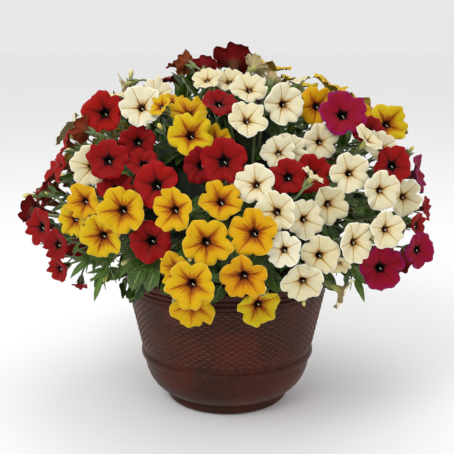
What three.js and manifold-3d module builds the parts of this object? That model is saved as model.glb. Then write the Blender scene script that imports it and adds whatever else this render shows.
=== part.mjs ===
// Potted petunias: a mixed bedding plant mound in a round brown plastic patio pot.
// Millimetres, +Z up. The origin is the centre of the pot's underside, where it stands on the ground.
// The pot is a shell of revolution filled with potting mix. Five bushy plants stand in the mix by
// their crowns. Each is a dense tangle of stems with leaves standing out of it. Sprays of
// trumpet-shaped blooms stand in plain holes in the plants, several blooms forking from one stalk.
import * as THREE from "three";
import { mergeVertices } from "three/addons/utils/BufferGeometryUtils.js";
import Module from "manifold-3d";

const wasm = await Module();
wasm.setup();

// Driving dimensions
const GAP = 0.35; // clearance between pieces that touch
const RIM_RADIUS = 142.5; // outer radius of the pot's rim
const POT_HEIGHT = 190;
const LEDGE_RADIUS = 121; // a bead round the pot a third of the way up
const LEDGE_HEIGHT = 66;
const FOOT_RADIUS = 86;
const FLOOR_THICKNESS = 8;
const WALL = 4;
const SOIL_TOP = 165;
const SOIL_HEAP = [90, 2]; // where the mix starts to rise, and how high it is in the middle
const POT_SIDES = 32;
const DRAIN_HOLES = 4;
const DRAIN_RADIUS = 5;
const DRAIN_CIRCLE = 48;

const MOUND_CENTRE = new THREE.Vector3(0, 0, 262); // widest level of the flowering mound
const MOUND_HALF_WIDTH = 272;
const MOUND_HALF_DEPTH = 250;
const MOUND_RISE = 212;
const MOUND_DROP = 125;
const CORE_SHARES = [0.62, 0.7]; // least and most size of the tangled core against the mound

const PLANTS = 5;
const CROWN_CIRCLE = 66;
const CROWN_RADIUS = 7;
const CROWN_DEPTH = 26;
const CROWN_TOP = 200; // inside the core
const PLANT_GAP = 1.6; // between the tangles of two plants
const WEDGE_REACH = 500;

// The picture that the blooms' places were read from, as a pinhole view of the pot
const VIEW = {
  pitch: THREE.MathUtils.degToRad(13.5), // how far the view looks down
  distance: 1262,
  aimHeight: 243, // height on the pot's axis at the picture's middle
  focal: 910, // in pixels
  middle: 227, // in pixels, both ways
  reach: 400, // of the search for the mound before and behind the pot's axis
};

const COLOURS = {
  yellow: 0xe8b414,
  cream: 0xf1e8cc,
  red: 0xa81520,
  magenta: 0xa8125a,
  leaf: 0x35572a,
  pot: 0x43241c,
  soil: 0x2a1d15,
};
const ROUGHNESS = { pot: 0.42, soil: 0.95, petals: 0.6, leaf: 0.7 };

// Small helpers on vectors and seeded draws
const vec = (x, y, z) => new THREE.Vector3(x, y, z);
const mix = (a, b, t) => a.clone().lerp(b, t);

function seededDraws(seed) {
  let state = seed;
  return () => {
    state = (state * 16807) % 2147483647;
    return state / 2147483647;
  };
}

// Solids: a closed triangle mesh becomes a solid that can be joined and cut
function solidOf(geometry) {
  const plain = geometry.clone();
  plain.deleteAttribute("normal");
  plain.deleteAttribute("uv");
  const merged = mergeVertices(plain, 1e-4);
  return new wasm.Manifold(
    new wasm.Mesh({
      numProp: 3,
      vertProperties: new Float32Array(merged.attributes.position.array),
      triVerts: new Uint32Array(merged.index.array),
    }),
  );
}

function geometryOf(solid) {
  const mesh = solid.getMesh();
  const geometry = new THREE.BufferGeometry();
  geometry.setAttribute("position", new THREE.BufferAttribute(mesh.vertProperties, 3));
  geometry.setIndex(new THREE.BufferAttribute(mesh.triVerts, 1));
  return geometry;
}

// A closed mesh from a list of points and a list of triangles
function meshSolid(points, triangles) {
  const geometry = new THREE.BufferGeometry();
  geometry.setAttribute(
    "position",
    new THREE.Float32BufferAttribute(points.flatMap((p) => [p.x, p.y, p.z]), 3),
  );
  geometry.setIndex(triangles.flat());
  return solidOf(geometry);
}

const joined = (solids) => solids.reduce((all, one) => all.add(one));

// The largest body of a solid, without loose scraps
function mainBody(solid) {
  const bodies = solid.decompose();
  return bodies.reduce((best, one) => (one.volume() > best.volume() ? one : best));
}

// A rod through the given points, with a radius at each and a few flat sides, closed at both ends
function rod(points, radii, sides) {
  const ring = [];
  const triangles = [];
  points.forEach((point, i) => {
    const ahead = points[Math.min(i + 1, points.length - 1)];
    const behind = points[Math.max(i - 1, 0)];
    const along = ahead.clone().sub(behind).normalize();
    const aside = Math.abs(along.z) < 0.9 ? vec(0, 0, 1) : vec(1, 0, 0);
    const u = aside.clone().cross(along).normalize();
    const v = along.clone().cross(u);
    for (let s = 0; s < sides; s++) {
      const turn = (2 * Math.PI * s) / sides;
      ring.push(
        point
          .clone()
          .addScaledVector(u, Math.cos(turn) * radii[i])
          .addScaledVector(v, Math.sin(turn) * radii[i]),
      );
    }
  });
  for (let i = 0; i + 1 < points.length; i++) {
    for (let s = 0; s < sides; s++) {
      const t = (s + 1) % sides;
      const a = i * sides;
      const b = a + sides;
      triangles.push([a + s, a + t, b + t], [a + s, b + t, b + s]);
    }
  }
  const last = (points.length - 1) * sides;
  for (let s = 1; s + 1 < sides; s++) {
    triangles.push([0, s + 1, s], [last, last + s, last + s + 1]);
  }
  return meshSolid(ring, triangles);
}

// The mound: a flattened ball, with a shallower lower half that overhangs the pot's rim.
// The level is 0 at the mound's centre and 1 on its surface.
function moundLevel(p) {
  const z = p.z - MOUND_CENTRE.z;
  const tall = z > 0 ? MOUND_RISE : MOUND_DROP;
  const scaled = vec(p.x / MOUND_HALF_WIDTH, p.y / MOUND_HALF_DEPTH, z / tall);
  return scaled.length();
}

// The point of the mound's surface, shrunk to a share, in a direction from its centre
function moundPoint(direction, share = 1) {
  const level = moundLevel(MOUND_CENTRE.clone().add(direction));
  return MOUND_CENTRE.clone().addScaledVector(direction, share / level);
}

function moundNormal(p) {
  const z = p.z - MOUND_CENTRE.z;
  const tall = z > 0 ? MOUND_RISE : MOUND_DROP;
  return vec(p.x / MOUND_HALF_WIDTH ** 2, p.y / MOUND_HALF_DEPTH ** 2, z / tall ** 2).normalize();
}

// The picture's own directions, and the place on the mound that lies behind a point of the picture
const VIEW_RIGHT = vec(1, 0, 0);
const VIEW_AHEAD = vec(0, Math.cos(VIEW.pitch), -Math.sin(VIEW.pitch));
const VIEW_UP = vec(0, Math.sin(VIEW.pitch), Math.cos(VIEW.pitch));
const EYE = vec(0, 0, VIEW.aimHeight).addScaledVector(VIEW_AHEAD, -VIEW.distance);

function placeOnMound(x, y) {
  const ray = VIEW_AHEAD.clone()
    .multiplyScalar(VIEW.focal)
    .addScaledVector(VIEW_RIGHT, x - VIEW.middle)
    .addScaledVector(VIEW_UP, VIEW.middle - y)
    .normalize();
  const step = 2;
  let nearest = null;
  let lowest = Infinity;
  for (let t = VIEW.distance - VIEW.reach; t < VIEW.distance + VIEW.reach; t += step) {
    const p = EYE.clone().addScaledVector(ray, t);
    const level = moundLevel(p);
    if (level < lowest) {
      lowest = level;
      nearest = p;
    }
    if (level < 1) break;
  }
  return moundPoint(nearest.sub(MOUND_CENTRE));
}

// The sprays seen in the picture. Each row is one bloom: the picture place of its limb's middle,
// its width across in pixels, how its face leans to the right, up and towards the eye, and how many
// pixels further down the picture it counts when blooms are stacked (lower ones lie on top).
const SPRAYS = [
  { name: "red_upper_left", colour: "red", blooms: [
    [102, 112, 45, -0.3, 0.05, 0.95, 0],
    [79, 128, 30, -0.7, 0.25, -0.5, -30],
  ] },
  { name: "red_left_edge", colour: "red", blooms: [
    [66, 143, 28, -0.85, 0.3, 0.25, 0],
    [61, 166, 34, -0.85, 0.1, 0.4, 0],
  ] },
  { name: "red_left", colour: "red", blooms: [
    [136, 138, 38, 0, 0.1, 0.95, -35],
    [143, 157, 34, 0, 0.5, 0.8, 0],
    [110, 161, 43, -0.2, 0.1, 0.95, 0],
    [115, 182, 38, 0, 0.5, 0.8, -25],
  ] },
  { name: "red_left_front", colour: "red", blooms: [
    [154, 184, 48, -0.3, 0.1, 0.95, 0],
    [148, 244, 45, -0.15, -0.2, 0.95, 0],
  ] },
  { name: "red_far_left", colour: "red", blooms: [
    [43, 186, 24, -0.7, 0.6, 0.1, 0],
    [25, 209, 30, -0.85, 0.2, -0.3, 0],
    [38, 227, 38, -0.6, 0, 0.7, 0],
  ] },
  { name: "red_low_left", colour: "red", blooms: [
    [56, 245, 32, -0.5, -0.1, 0.8, 0],
    [57, 270, 28, -0.6, -0.3, 0.7, 0],
    [73, 290, 17, -0.1, -0.9, 0.3, 0],
  ] },
  { name: "yellow_left", colour: "yellow", blooms: [
    [69, 222, 37, -0.5, -0.3, 0.8, -25],
    [86, 201, 38, -0.45, -0.2, 0.85, 0],
    [123, 210, 49, -0.15, -0.1, 0.98, 40],
    [101, 238, 46, -0.2, -0.3, 0.9, -25],
  ] },
  { name: "yellow_centre", colour: "yellow", blooms: [
    [182, 210, 45, -0.4, 0, 0.9, 35],
    [221, 202, 44, 0.1, 0.4, 0.9, 0],
  ] },
  { name: "yellow_low", colour: "yellow", blooms: [
    [204, 239, 49, 0.15, -0.15, 0.95, 0],
    [197, 276, 50, -0.15, -0.2, 0.95, 40],
    [193, 308, 47, 0, -0.4, 0.9, 0],
    [171, 269, 36, -0.6, -0.1, 0.8, 0],
  ] },
  { name: "yellow_front", colour: "yellow", blooms: [
    [256, 234, 49, -0.2, 0.1, 0.95, 0],
    [244, 268, 49, -0.05, -0.45, 0.85, 0],
    [260, 307, 46, 0.3, -0.4, 0.85, 0],
  ] },
  { name: "yellow_upper", colour: "yellow", blooms: [
    [190, 130, 48, 0, 0.25, 0.95, 0],
    [218, 127, 33, 0.1, 0.4, 0.9, 0],
  ] },
  { name: "yellow_top", colour: "yellow", blooms: [
    [176, 88, 29, 0.2, 0.8, 0.5, 0],
    [165, 110, 26, -0.5, 0.4, 0.6, 0],
    [188, 102, 42, 0, 0.6, 0.7, 0],
  ] },
  { name: "yellow_right", colour: "yellow", blooms: [
    [317, 104, 40, 0, 0.1, 0.98, 0],
    [368, 100, 36, 0.15, 0.5, 0.85, 0],
    [388, 124, 43, 0.15, 0, 0.98, 0],
  ] },
  { name: "cream_top_left", colour: "cream", blooms: [
    [142, 109, 43, 0, 0.2, 0.98, 0],
    [154, 87, 38, 0, 0.5, 0.85, 0],
    [122, 86, 26, -0.85, -0.3, 0.1, 0],
  ] },
  { name: "cream_left", colour: "cream", blooms: [
    [89, 166, 44, -0.25, 0, 0.95, -20],
  ] },
  { name: "cream_top", colour: "cream", blooms: [
    [207, 80, 31, -0.2, 0.6, 0.7, 0],
    [229, 77, 32, 0, 0.6, 0.8, 0],
    [249, 87, 38, 0, 0.5, 0.85, 0],
  ] },
  { name: "cream_top_back", colour: "cream", blooms: [
    [257, 65, 29, 0.5, 0.6, -0.4, 0],
    [274, 80, 18, 0.4, 0.5, -0.5, 0],
    [299, 79, 25, -0.2, 0.85, 0.2, 0],
  ] },
  { name: "cream_upper", colour: "cream", blooms: [
    [248, 118, 41, 0.2, 0.4, 0.9, 14],
    [285, 104, 42, 0.3, -0.1, 0.95, 0],
  ] },
  { name: "cream_middle", colour: "cream", blooms: [
    [257, 148, 44, 0.4, 0.75, 0.4, 0],
    [277, 146, 36, -0.1, 0.2, 0.95, 0],
    [294, 142, 37, 0.1, 0.2, 0.95, 0],
    [327, 140, 38, 0.2, 0, 0.95, 0],
  ] },
  { name: "cream_right_top", colour: "cream", blooms: [
    [360, 149, 34, 0.5, 0.6, 0.5, 0],
    [382, 146, 36, 0.2, 0.35, 0.9, 0],
  ] },
  { name: "cream_centre", colour: "cream", blooms: [
    [255, 184, 42, -0.25, 0.2, 0.95, 0],
    [279, 212, 44, -0.3, 0, 0.95, 12],
    [310, 219, 42, 0.4, 0, 0.9, 0],
    [301, 192, 27, 0.5, 0.7, 0.2, 0],
  ] },
  { name: "cream_right", colour: "cream", blooms: [
    [350, 173, 41, 0.1, 0, 0.98, 0],
    [376, 190, 41, 0.35, -0.1, 0.9, 0],
    [411, 198, 39, 0.35, -0.1, 0.9, 0],
  ] },
  { name: "cream_right_low", colour: "cream", blooms: [
    [337, 210, 43, 0.35, -0.3, 0.85, 0],
    [379, 228, 39, 0.35, -0.1, 0.9, 40],
  ] },
  { name: "cream_low", colour: "cream", blooms: [
    [353, 242, 43, 0.5, -0.1, 0.8, 20],
    [320, 255, 41, 0.15, 0, 0.95, 0],
    [341, 272, 27, 0.1, -0.7, 0.6, -40],
    [345, 293, 36, 0.8, -0.45, 0.1, -60],
  ] },
  { name: "cream_low_front", colour: "cream", blooms: [
    [287, 249, 37, -0.2, 0, 0.95, -25],
    [302, 278, 43, 0, -0.5, 0.85, 0],
  ] },
  { name: "red_centre", colour: "red", blooms: [
    [196, 164, 38, -0.2, 0, 0.95, 0],
    [223, 161, 48, -0.1, 0, 0.98, 10],
  ] },
  { name: "red_top_centre", colour: "red", blooms: [
    [219, 102, 36, 0.1, 0.6, 0.75, 0],
  ] },
  { name: "red_right_centre", colour: "red", blooms: [
    [287, 174, 39, -0.1, 0.3, 0.9, 8],
    [313, 170, 43, 0, 0.1, 0.98, 0],
  ] },
  { name: "red_right", colour: "red", blooms: [
    [371, 127, 35, 0.1, 0.3, 0.9, 0],
    [390, 166, 41, 0.3, 0, 0.95, 0],
  ] },
  { name: "magenta_top", colour: "magenta", blooms: [
    [341, 117, 49, 0.05, 0.3, 0.95, 28],
  ] },
  { name: "magenta_right", colour: "magenta", blooms: [
    [424, 173, 40, 0.9, 0.15, 0.35, 0],
  ] },
  { name: "red_far_right", colour: "red", blooms: [
    [431, 208, 26, 0.85, 0.1, 0.4, 0],
    [419, 226, 30, 0.75, 0, 0.6, 0],
  ] },
  { name: "magenta_low_right", colour: "magenta", blooms: [
    [413, 249, 37, 0.5, -0.1, 0.8, 0],
    [382, 268, 47, 0.2, -0.05, 0.95, 0],
  ] },
  { name: "red_top", colour: "red", blooms: [
    [235, 49, 45, 0.05, 0.75, -0.5, 0],
    [205, 61, 26, 0, 0.6, -0.7, 0],
    [190, 65, 26, -0.6, 0.3, -0.5, 0],
    [175, 58, 24, -0.35, 0.9, 0, 0],
  ] },
];

// Leafy shoots seen at the mound's skirt: the picture place of the tip, how far the tip hangs down
// along the mound in mm, the leaves' length, and half their width against it
const SHOOTS = [
  { tip: [78, 262], hang: 10, length: 34, width: 0.13 },
  { tip: [93, 280], hang: 26, length: 34, width: 0.13 },
  { tip: [134, 282], hang: 18, length: 40, width: 0.3 },
  { tip: [150, 289], hang: 22, length: 36, width: 0.32 },
  { tip: [233, 290], hang: 16, length: 36, width: 0.24 },
  { tip: [365, 283], hang: 24, length: 38, width: 0.15 },
];
const SHOOT_SHARES = [0.58, 0.93]; // of the mound, from the stem's foot to its tip
const SHOOT_RADIUS = 1.6;
const SHOOT_BEND = 0.62; // where along the stem it arches over
const SHOOT_LEAN = 0.9; // of its side leaves against its stem
const SHOOT_SIDE_SIZE = 0.8; // of them against the tip's leaf
const SHOOT_SEATS = [0.43, 0.9, 0.67]; // of the leaves between the bend and the tip

// The sprays that the picture doesn't show fill the rest of the mound: each has a bloom in its
// middle and four round it. Next to the picture's sprays they take the nearest one's colour.
const FILL_SPRAYS = 14;
const FILL_ROUND = 4;
const FILL_RADIUS = 27; // of a bloom
const FILL_SPREAD = 45; // from the middle bloom to the ones round it
const FILL_CANDIDATES = 700;
const FILL_HEIGHTS = [0.98, -0.42]; // of the direction from the mound's centre
const FILL_FOREMOST = 20; // the mound's front is in the picture
const FILL_SHARE = 0.94; // of the mound, where these blooms sit
const FILL_LOWEST = 222; // height of a bloom's place, over the pot's rim
const FILL_COLOURS = ["cream", "red", "yellow", "magenta", "cream", "red", "yellow"];
const FILL_SHARED = 60; // how far behind the pot's axis the nearest spray's colour is taken
const FILL_EDGE = 5; // points round the limb of a bloom there, and of one in the picture
const PICTURE_EDGE = 10;

// A bloom: a 5-lobed limb that flares from a narrow throat, on a tube. Shares are of its radius.
const LIMB_THICKNESS = 1.1;
const THROAT_SHARE = 0.2;
const FUNNEL_SHARE = 0.3; // how deep the limb's face runs down to the throat
const THROAT_DEPTH_SHARE = 0.08; // of the hollow below that
const NECK_SHARE = 0.46; // how far behind the limb's edge its back meets the tube
const TUBE_SHARE = 0.95; // length of the tube
const NOTCH_SHARE = 0.92; // radius at the notch between two lobes
const NOTCH_DIP = 0.05; // how far the notch lies below the lobes' tips
const CALYX_RADIUS = 2.4;
const PEDICEL_RADIUS = 1.4;
const STALK_RADIUS = 2.2;
const CLEAR = 2.3; // between the limbs of two blooms
const SAMPLE_SHARES = [0.5, 0.75, 1]; // of the limb's radius, where clearance is tested
const SAMPLE_TURNS = 14;
const SAMPLE_REACH = 1.05;
const SETTLE_SWEEPS = 60;
const SETTLE_STEP = 0.3;
const STALK_FOOT = 0.6; // shares of the mound at which a spray's stalk stands and forks
const STALK_FORK = 0.765;
const STALK_SIDES = 4;
const FORK_SINK = 0.12; // how far down the stalk the pedicels end
const HOLE_REACH = 6; // of a stalk's hole beyond the fork
const ELBOW_REACH = 4; // from the calyx to the bend of a pedicel that turns back sharply
const SAME_WAY = 0.2; // least agreement of two faces that may lie on each other
const CUP_SHARE = 0.5; // how far above its edge a bloom is kept clear of leaves
const LIMB_SHARE = 1.1; // how far out from its axis
const NECK_REACH = 0.42; // and how far out from its tube

function bloomsOfPicture() {
  return SPRAYS.flatMap((spray) =>
    spray.blooms.map(([x, y, across, right, up, toward, shift]) => {
      const place = placeOnMound(x, y);
      const depth = place.clone().sub(EYE).dot(VIEW_AHEAD);
      const axis = vec(0, 0, 0)
        .addScaledVector(VIEW_RIGHT, right)
        .addScaledVector(VIEW_UP, up)
        .addScaledVector(VIEW_AHEAD, -toward)
        .normalize();
      const radius = (across / 2) * (depth / VIEW.focal);
      const { name, colour } = spray;
      return { spray: name, colour, place, axis, radius, rank: y + shift, edge: PICTURE_EDGE };
    }),
  );
}

// Directions from the mound's centre on an even spiral, between two heights
function spiral(count, heights) {
  const golden = Math.PI * (3 - Math.sqrt(5));
  return Array.from({ length: count }, (_, i) => {
    const height = heights[0] + ((heights[1] - heights[0]) * (i + 0.5)) / count;
    const level = Math.sqrt(1 - height * height);
    return vec(level * Math.cos(i * golden), level * Math.sin(i * golden), height);
  });
}

// Each further spray goes where the mound is barest, farthest from all the blooms so far
function bloomsOfFill(seen) {
  const draw = seededDraws(7);
  const candidates = spiral(FILL_CANDIDATES, FILL_HEIGHTS)
    .map((direction) => moundPoint(direction))
    .filter((p) => p.y > FILL_FOREMOST);
  const taken = seen.map(({ place, radius }) => ({ place, radius }));
  const blooms = [];
  for (let i = 0; i < FILL_SPRAYS; i++) {
    const room = (p) => Math.min(...taken.map(({ place, radius }) => p.distanceTo(place) - radius));
    const rooms = candidates.map(room);
    const centre = candidates[rooms.indexOf(Math.max(...rooms))];
    taken.push({ place: centre, radius: FILL_SPREAD + FILL_RADIUS });
    const nearest = seen.reduce((best, one) =>
      one.place.distanceTo(centre) < best.place.distanceTo(centre) ? one : best,
    );
    const shared = centre.y < FILL_SHARED;
    const out = moundNormal(centre);
    const aside = vec(0, 0, 1).cross(out).normalize();
    const upward = out.clone().cross(aside);
    const start = draw() * 2 * Math.PI;
    for (let k = 0; k <= FILL_ROUND; k++) {
      const turn = start + (k * 2 * Math.PI) / FILL_ROUND;
      const spread = k === 0 ? 0 : FILL_SPREAD;
      const place = centre
        .clone()
        .addScaledVector(aside, Math.cos(turn) * spread)
        .addScaledVector(upward, Math.sin(turn) * spread);
      place.setZ(Math.max(place.z, FILL_LOWEST));
      const seat = moundPoint(place.sub(MOUND_CENTRE), FILL_SHARE);
      const lean = vec((draw() - 0.5) * 0.6, (draw() - 0.5) * 0.6, draw() * 0.4);
      blooms.push({
        spray: `back_${String(i + 1).padStart(2, "0")}`,
        colour: shared ? nearest.colour : FILL_COLOURS[i % FILL_COLOURS.length],
        place: seat,
        axis: moundNormal(seat).add(lean).normalize(),
        radius: FILL_RADIUS * (0.88 + 0.24 * draw()),
        rank: 1000 * draw(),
        edge: FILL_EDGE,
      });
    }
  }
  return blooms;
}

// How far below its edge plane a limb's face and its back lie, at a share of the radius
function faceDepth(bloom, share) {
  const inside = Math.max(0, 1 - Math.max(share, THROAT_SHARE)) / (1 - THROAT_SHARE);
  return FUNNEL_SHARE * bloom.radius * inside;
}

function backDepth(bloom, share) {
  const inside = Math.max(0, 1 - Math.max(share, THROAT_SHARE)) / (1 - THROAT_SHARE);
  return LIMB_THICKNESS + NECK_SHARE * bloom.radius * inside;
}

// Two directions across a bloom's axis
function frameOf(bloom) {
  const aside = Math.abs(bloom.axis.z) < 0.9 ? vec(0, 0, 1) : vec(0, 1, 0);
  const u = aside.clone().cross(bloom.axis).normalize();
  const v = bloom.axis.clone().cross(u);
  return { u, v };
}

function limbSamples(bloom) {
  const { u, v } = frameOf(bloom);
  const points = [];
  for (const share of SAMPLE_SHARES) {
    for (let k = 0; k < SAMPLE_TURNS; k++) {
      const turn = (2 * Math.PI * k) / SAMPLE_TURNS;
      points.push(
        bloom.place
          .clone()
          .addScaledVector(u, Math.cos(turn) * bloom.radius * share)
          .addScaledVector(v, Math.sin(turn) * bloom.radius * share)
          .addScaledVector(bloom.axis, -faceDepth(bloom, share)),
      );
    }
  }
  return points;
}

// Where the limbs of two blooms would cross, the one of higher rank moves out along its axis and
// the other moves in, a little at a time, until all of them are clear of each other.
function lackAbove(point, under) {
  const from = point.clone().sub(under.place);
  const height = from.dot(under.axis);
  const share = Math.sqrt(Math.max(0, from.lengthSq() - height * height)) / under.radius;
  if (share > SAMPLE_REACH || Math.abs(height) > under.radius) return 0;
  return Math.max(0, CLEAR + LIMB_THICKNESS - height - faceDepth(under, share));
}

function lackBelow(point, over) {
  const from = point.clone().sub(over.place);
  const height = from.dot(over.axis);
  const share = Math.sqrt(Math.max(0, from.lengthSq() - height * height)) / over.radius;
  if (share > SAMPLE_REACH || Math.abs(height) > over.radius) return 0;
  return Math.max(0, CLEAR + height + backDepth(over, share));
}

function settle(blooms) {
  const order = [...blooms].sort((a, b) => a.rank - b.rank);
  for (let sweep = 0; sweep < SETTLE_SWEEPS; sweep++) {
    order.forEach((under, i) => {
      for (const over of order.slice(i + 1)) {
        const apart = under.place.distanceTo(over.place);
        if (apart > under.radius + over.radius || under.axis.dot(over.axis) < SAME_WAY) continue;
        const lift = Math.max(
          ...limbSamples(over).map((point) => lackAbove(point, under)),
          ...limbSamples(under).map((point) => lackBelow(point, over)),
        );
        over.place.addScaledVector(over.axis, lift * SETTLE_STEP);
        under.place.addScaledVector(under.axis, -lift * SETTLE_STEP);
      }
    });
  }
}

// The foot of a bloom's tube, where its calyx is
const calyxOf = (bloom) =>
  bloom.place.clone().addScaledVector(bloom.axis, -(FUNNEL_SHARE + TUBE_SHARE) * bloom.radius);

// A bloom as a closed mesh, in rings of points: the throat and the limb's face, its edge and back,
// the tube that narrows to the calyx, and the three-sided pedicel that runs down to the given end.
function bloomSolid(bloom, end) {
  const { u, v } = frameOf(bloom);
  const R = bloom.radius;
  const at = (radius, turn, height) =>
    bloom.place
      .clone()
      .addScaledVector(u, Math.cos(turn) * radius)
      .addScaledVector(v, Math.sin(turn) * radius)
      .addScaledVector(bloom.axis, height);
  const points = [];
  const ring = (list) => list.map((point) => points.push(point) - 1);
  const threefold = (radius, height) => [0, 1, 2].map((k) => at(radius, (k * 2 * Math.PI) / 3, height));
  const edge = Array.from({ length: bloom.edge }, (_, k) => k);
  const isNotch = (k) => bloom.edge === PICTURE_EDGE && k % 2 === 0;
  const edgePoint = (k, height) => {
    const turn = (k * 2 * Math.PI) / bloom.edge;
    return isNotch(k) ? at(NOTCH_SHARE * R, turn, height - NOTCH_DIP * R) : at(R, turn, height);
  };
  const throat = ring(threefold(THROAT_SHARE * R, -(FUNNEL_SHARE + THROAT_DEPTH_SHARE) * R));
  const front = ring(edge.map((k) => edgePoint(k, 0)));
  const back = ring(edge.map((k) => edgePoint(k, -LIMB_THICKNESS)));
  const neck = ring(threefold(THROAT_SHARE * R + LIMB_THICKNESS, -NECK_SHARE * R));
  const calyx = ring(threefold(CALYX_RADIUS, -(FUNNEL_SHARE + TUBE_SHARE) * R));
  const triangles = [[throat[0], throat[1], throat[2]]];

  // The edge points meet the three of the throat or neck: each edge goes to the nearest corner
  const corner = (k) => Math.round((k * 3) / bloom.edge) % 3;
  for (const k of edge) {
    const n = (k + 1) % bloom.edge;
    triangles.push([front[k], back[k], back[n]], [front[k], back[n], front[n]]);
    triangles.push([throat[corner(k)], front[k], front[n]], [neck[corner(k)], back[n], back[k]]);
    if (corner(n) !== corner(k)) {
      triangles.push([throat[corner(k)], front[n], throat[corner(n)]]);
      triangles.push([neck[corner(k)], neck[corner(n)], back[n]]);
    }
  }
  for (let k = 0; k < 3; k++) {
    const n = (k + 1) % 3;
    triangles.push([neck[k], calyx[k], calyx[n]], [neck[k], calyx[n], neck[n]]);
  }

  // The pedicel's rings keep the calyx ring's turn, so that it doesn't twist. One that has to turn
  // back sharply gets an elbow on its way.
  const foot = calyxOf(bloom);
  const way = end.clone().sub(foot).normalize();
  const elbow = { point: foot.clone().addScaledVector(way.clone().sub(bloom.axis), ELBOW_REACH), along: way };
  const stations = way.dot(bloom.axis) > -0.5 ? [elbow] : [];
  let above = calyx;
  for (const { point, along } of [...stations, { point: end, along: way }]) {
    const side = v.clone().addScaledVector(along, -v.dot(along)).normalize();
    const across = along.clone().cross(side);
    const below = ring(
      [0, 1, 2].map((k) =>
        point
          .clone()
          .addScaledVector(across, Math.cos((k * 2 * Math.PI) / 3) * PEDICEL_RADIUS)
          .addScaledVector(side, Math.sin((k * 2 * Math.PI) / 3) * PEDICEL_RADIUS),
      ),
    );
    for (let k = 0; k < 3; k++) {
      const n = (k + 1) % 3;
      triangles.push([above[k], below[k], below[n]], [above[k], below[n], above[n]]);
    }
    above = below;
  }
  triangles.push([above[0], above[2], above[1]]);
  return meshSolid(points, triangles);
}

// A spray's stalk stands in the plants' core and forks into a pedicel for each bloom
function stalkEnds(blooms) {
  const centre = vec(0, 0, 0);
  blooms.forEach((bloom) => centre.addScaledVector(calyxOf(bloom), 1 / blooms.length));
  const direction = centre.sub(MOUND_CENTRE);
  return { stand: moundPoint(direction, STALK_FOOT), fork: moundPoint(direction, STALK_FORK) };
}

function spraySolid(blooms) {
  const { stand, fork } = stalkEnds(blooms);
  const stalk = rod([stand, fork], [STALK_RADIUS, STALK_RADIUS], STALK_SIDES);
  const end = mix(fork, stand, FORK_SINK);
  return joined([stalk, ...blooms.map((bloom) => bloomSolid(bloom, end))]);
}

// The plain hole in the core that a spray's stalk stands in
function stalkHole(blooms) {
  const { stand, fork } = stalkEnds(blooms);
  const along = fork.clone().sub(stand).normalize();
  const radius = STALK_RADIUS + GAP / Math.cos(Math.PI / STALK_SIDES);
  const below = stand.clone().addScaledVector(along, -GAP);
  const above = fork.clone().addScaledVector(along, HOLE_REACH);
  return rod([below, above], [radius, radius], STALK_SIDES);
}

// The bush core: a dense tangle of stems and inner leaves, rough all over
const CORE_DETAIL = 2;

function coreSolid() {
  const draw = seededDraws(5);
  const ball = new THREE.IcosahedronGeometry(1, CORE_DETAIL);
  ball.deleteAttribute("normal");
  ball.deleteAttribute("uv");
  const geometry = mergeVertices(ball, 1e-4);
  const position = geometry.attributes.position;
  for (let i = 0; i < position.count; i++) {
    const share = CORE_SHARES[0] + (CORE_SHARES[1] - CORE_SHARES[0]) * draw();
    const p = moundPoint(new THREE.Vector3().fromBufferAttribute(position, i), share);
    position.setXYZ(i, p.x, p.y, p.z);
  }
  return solidOf(geometry);
}

// A leaf blade: folded into a shallow trough along its midrib, thickest under the middle of it
const LEAF_KEEL = 2.6;
const LEAF_ARCH = 3; // how far the blade's sides and tip bend from its plane
const LEAF_WAIST = 0.45; // where along the blade it is widest
const LEAF_WIDTH_SHARE = 0.24; // half the width against the length
const LEAF_LENGTHS = [58, 84];
const LEAF_TILTS = [0.2, 1.1]; // from straight out of the core, in radians
const LEAF_SPOTS = 135;
const LEAF_TRIES = 24;
const LEAF_HEIGHTS = [0.97, -0.36]; // of the direction from the mound's centre
const LEAF_ROOT_SHARE = 0.57;
const LEAF_CLEAR = 1.8;

function leafSolid(leaf) {
  const { root, along, across, face, length, halfWidth } = leaf;
  const at = (l, w, h) =>
    root
      .clone()
      .addScaledVector(along, l * length)
      .addScaledVector(across, w * halfWidth)
      .addScaledVector(face, h);
  const points = [
    root,
    at(LEAF_WAIST, 1, LEAF_ARCH),
    at(1, 0, -LEAF_ARCH),
    at(LEAF_WAIST, -1, LEAF_ARCH),
    at(LEAF_WAIST, 0, -LEAF_ARCH * LEAF_WAIST - LEAF_KEEL),
  ];
  const [base, left, tip, right, keel] = [0, 1, 2, 3, 4];
  return meshSolid(points, [
    [base, left, tip],
    [base, tip, right],
    [base, keel, left],
    [left, keel, tip],
    [tip, keel, right],
    [right, keel, base],
  ]);
}

// A leaf is turned down if a stalk passes through its blade, if its blade meets a bloom, if it
// reaches the pot or if it leaves its plant's wedge
function leafCorners(leaf) {
  const { root, along, across, length, halfWidth } = leaf;
  const at = (l, w) =>
    root.clone().addScaledVector(along, l * length).addScaledVector(across, w * halfWidth);
  return [
    [0.3, -0.5],
    [0.3, 0.5],
    [LEAF_WAIST, -1],
    [LEAF_WAIST, 0],
    [LEAF_WAIST, 1],
    [0.75, -0.5],
    [0.75, 0.5],
    [1, 0],
  ].map(([l, w]) => at(l, w));
}

function bladeHolds(leaf, point, margin) {
  const from = point.clone().sub(leaf.root);
  const along = from.dot(leaf.along);
  if (along < -margin || along > leaf.length + margin) return false;
  if (Math.abs(from.dot(leaf.across)) > leaf.halfWidth + margin) return false;
  return Math.abs(from.dot(leaf.face)) < LEAF_ARCH + margin;
}

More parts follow.
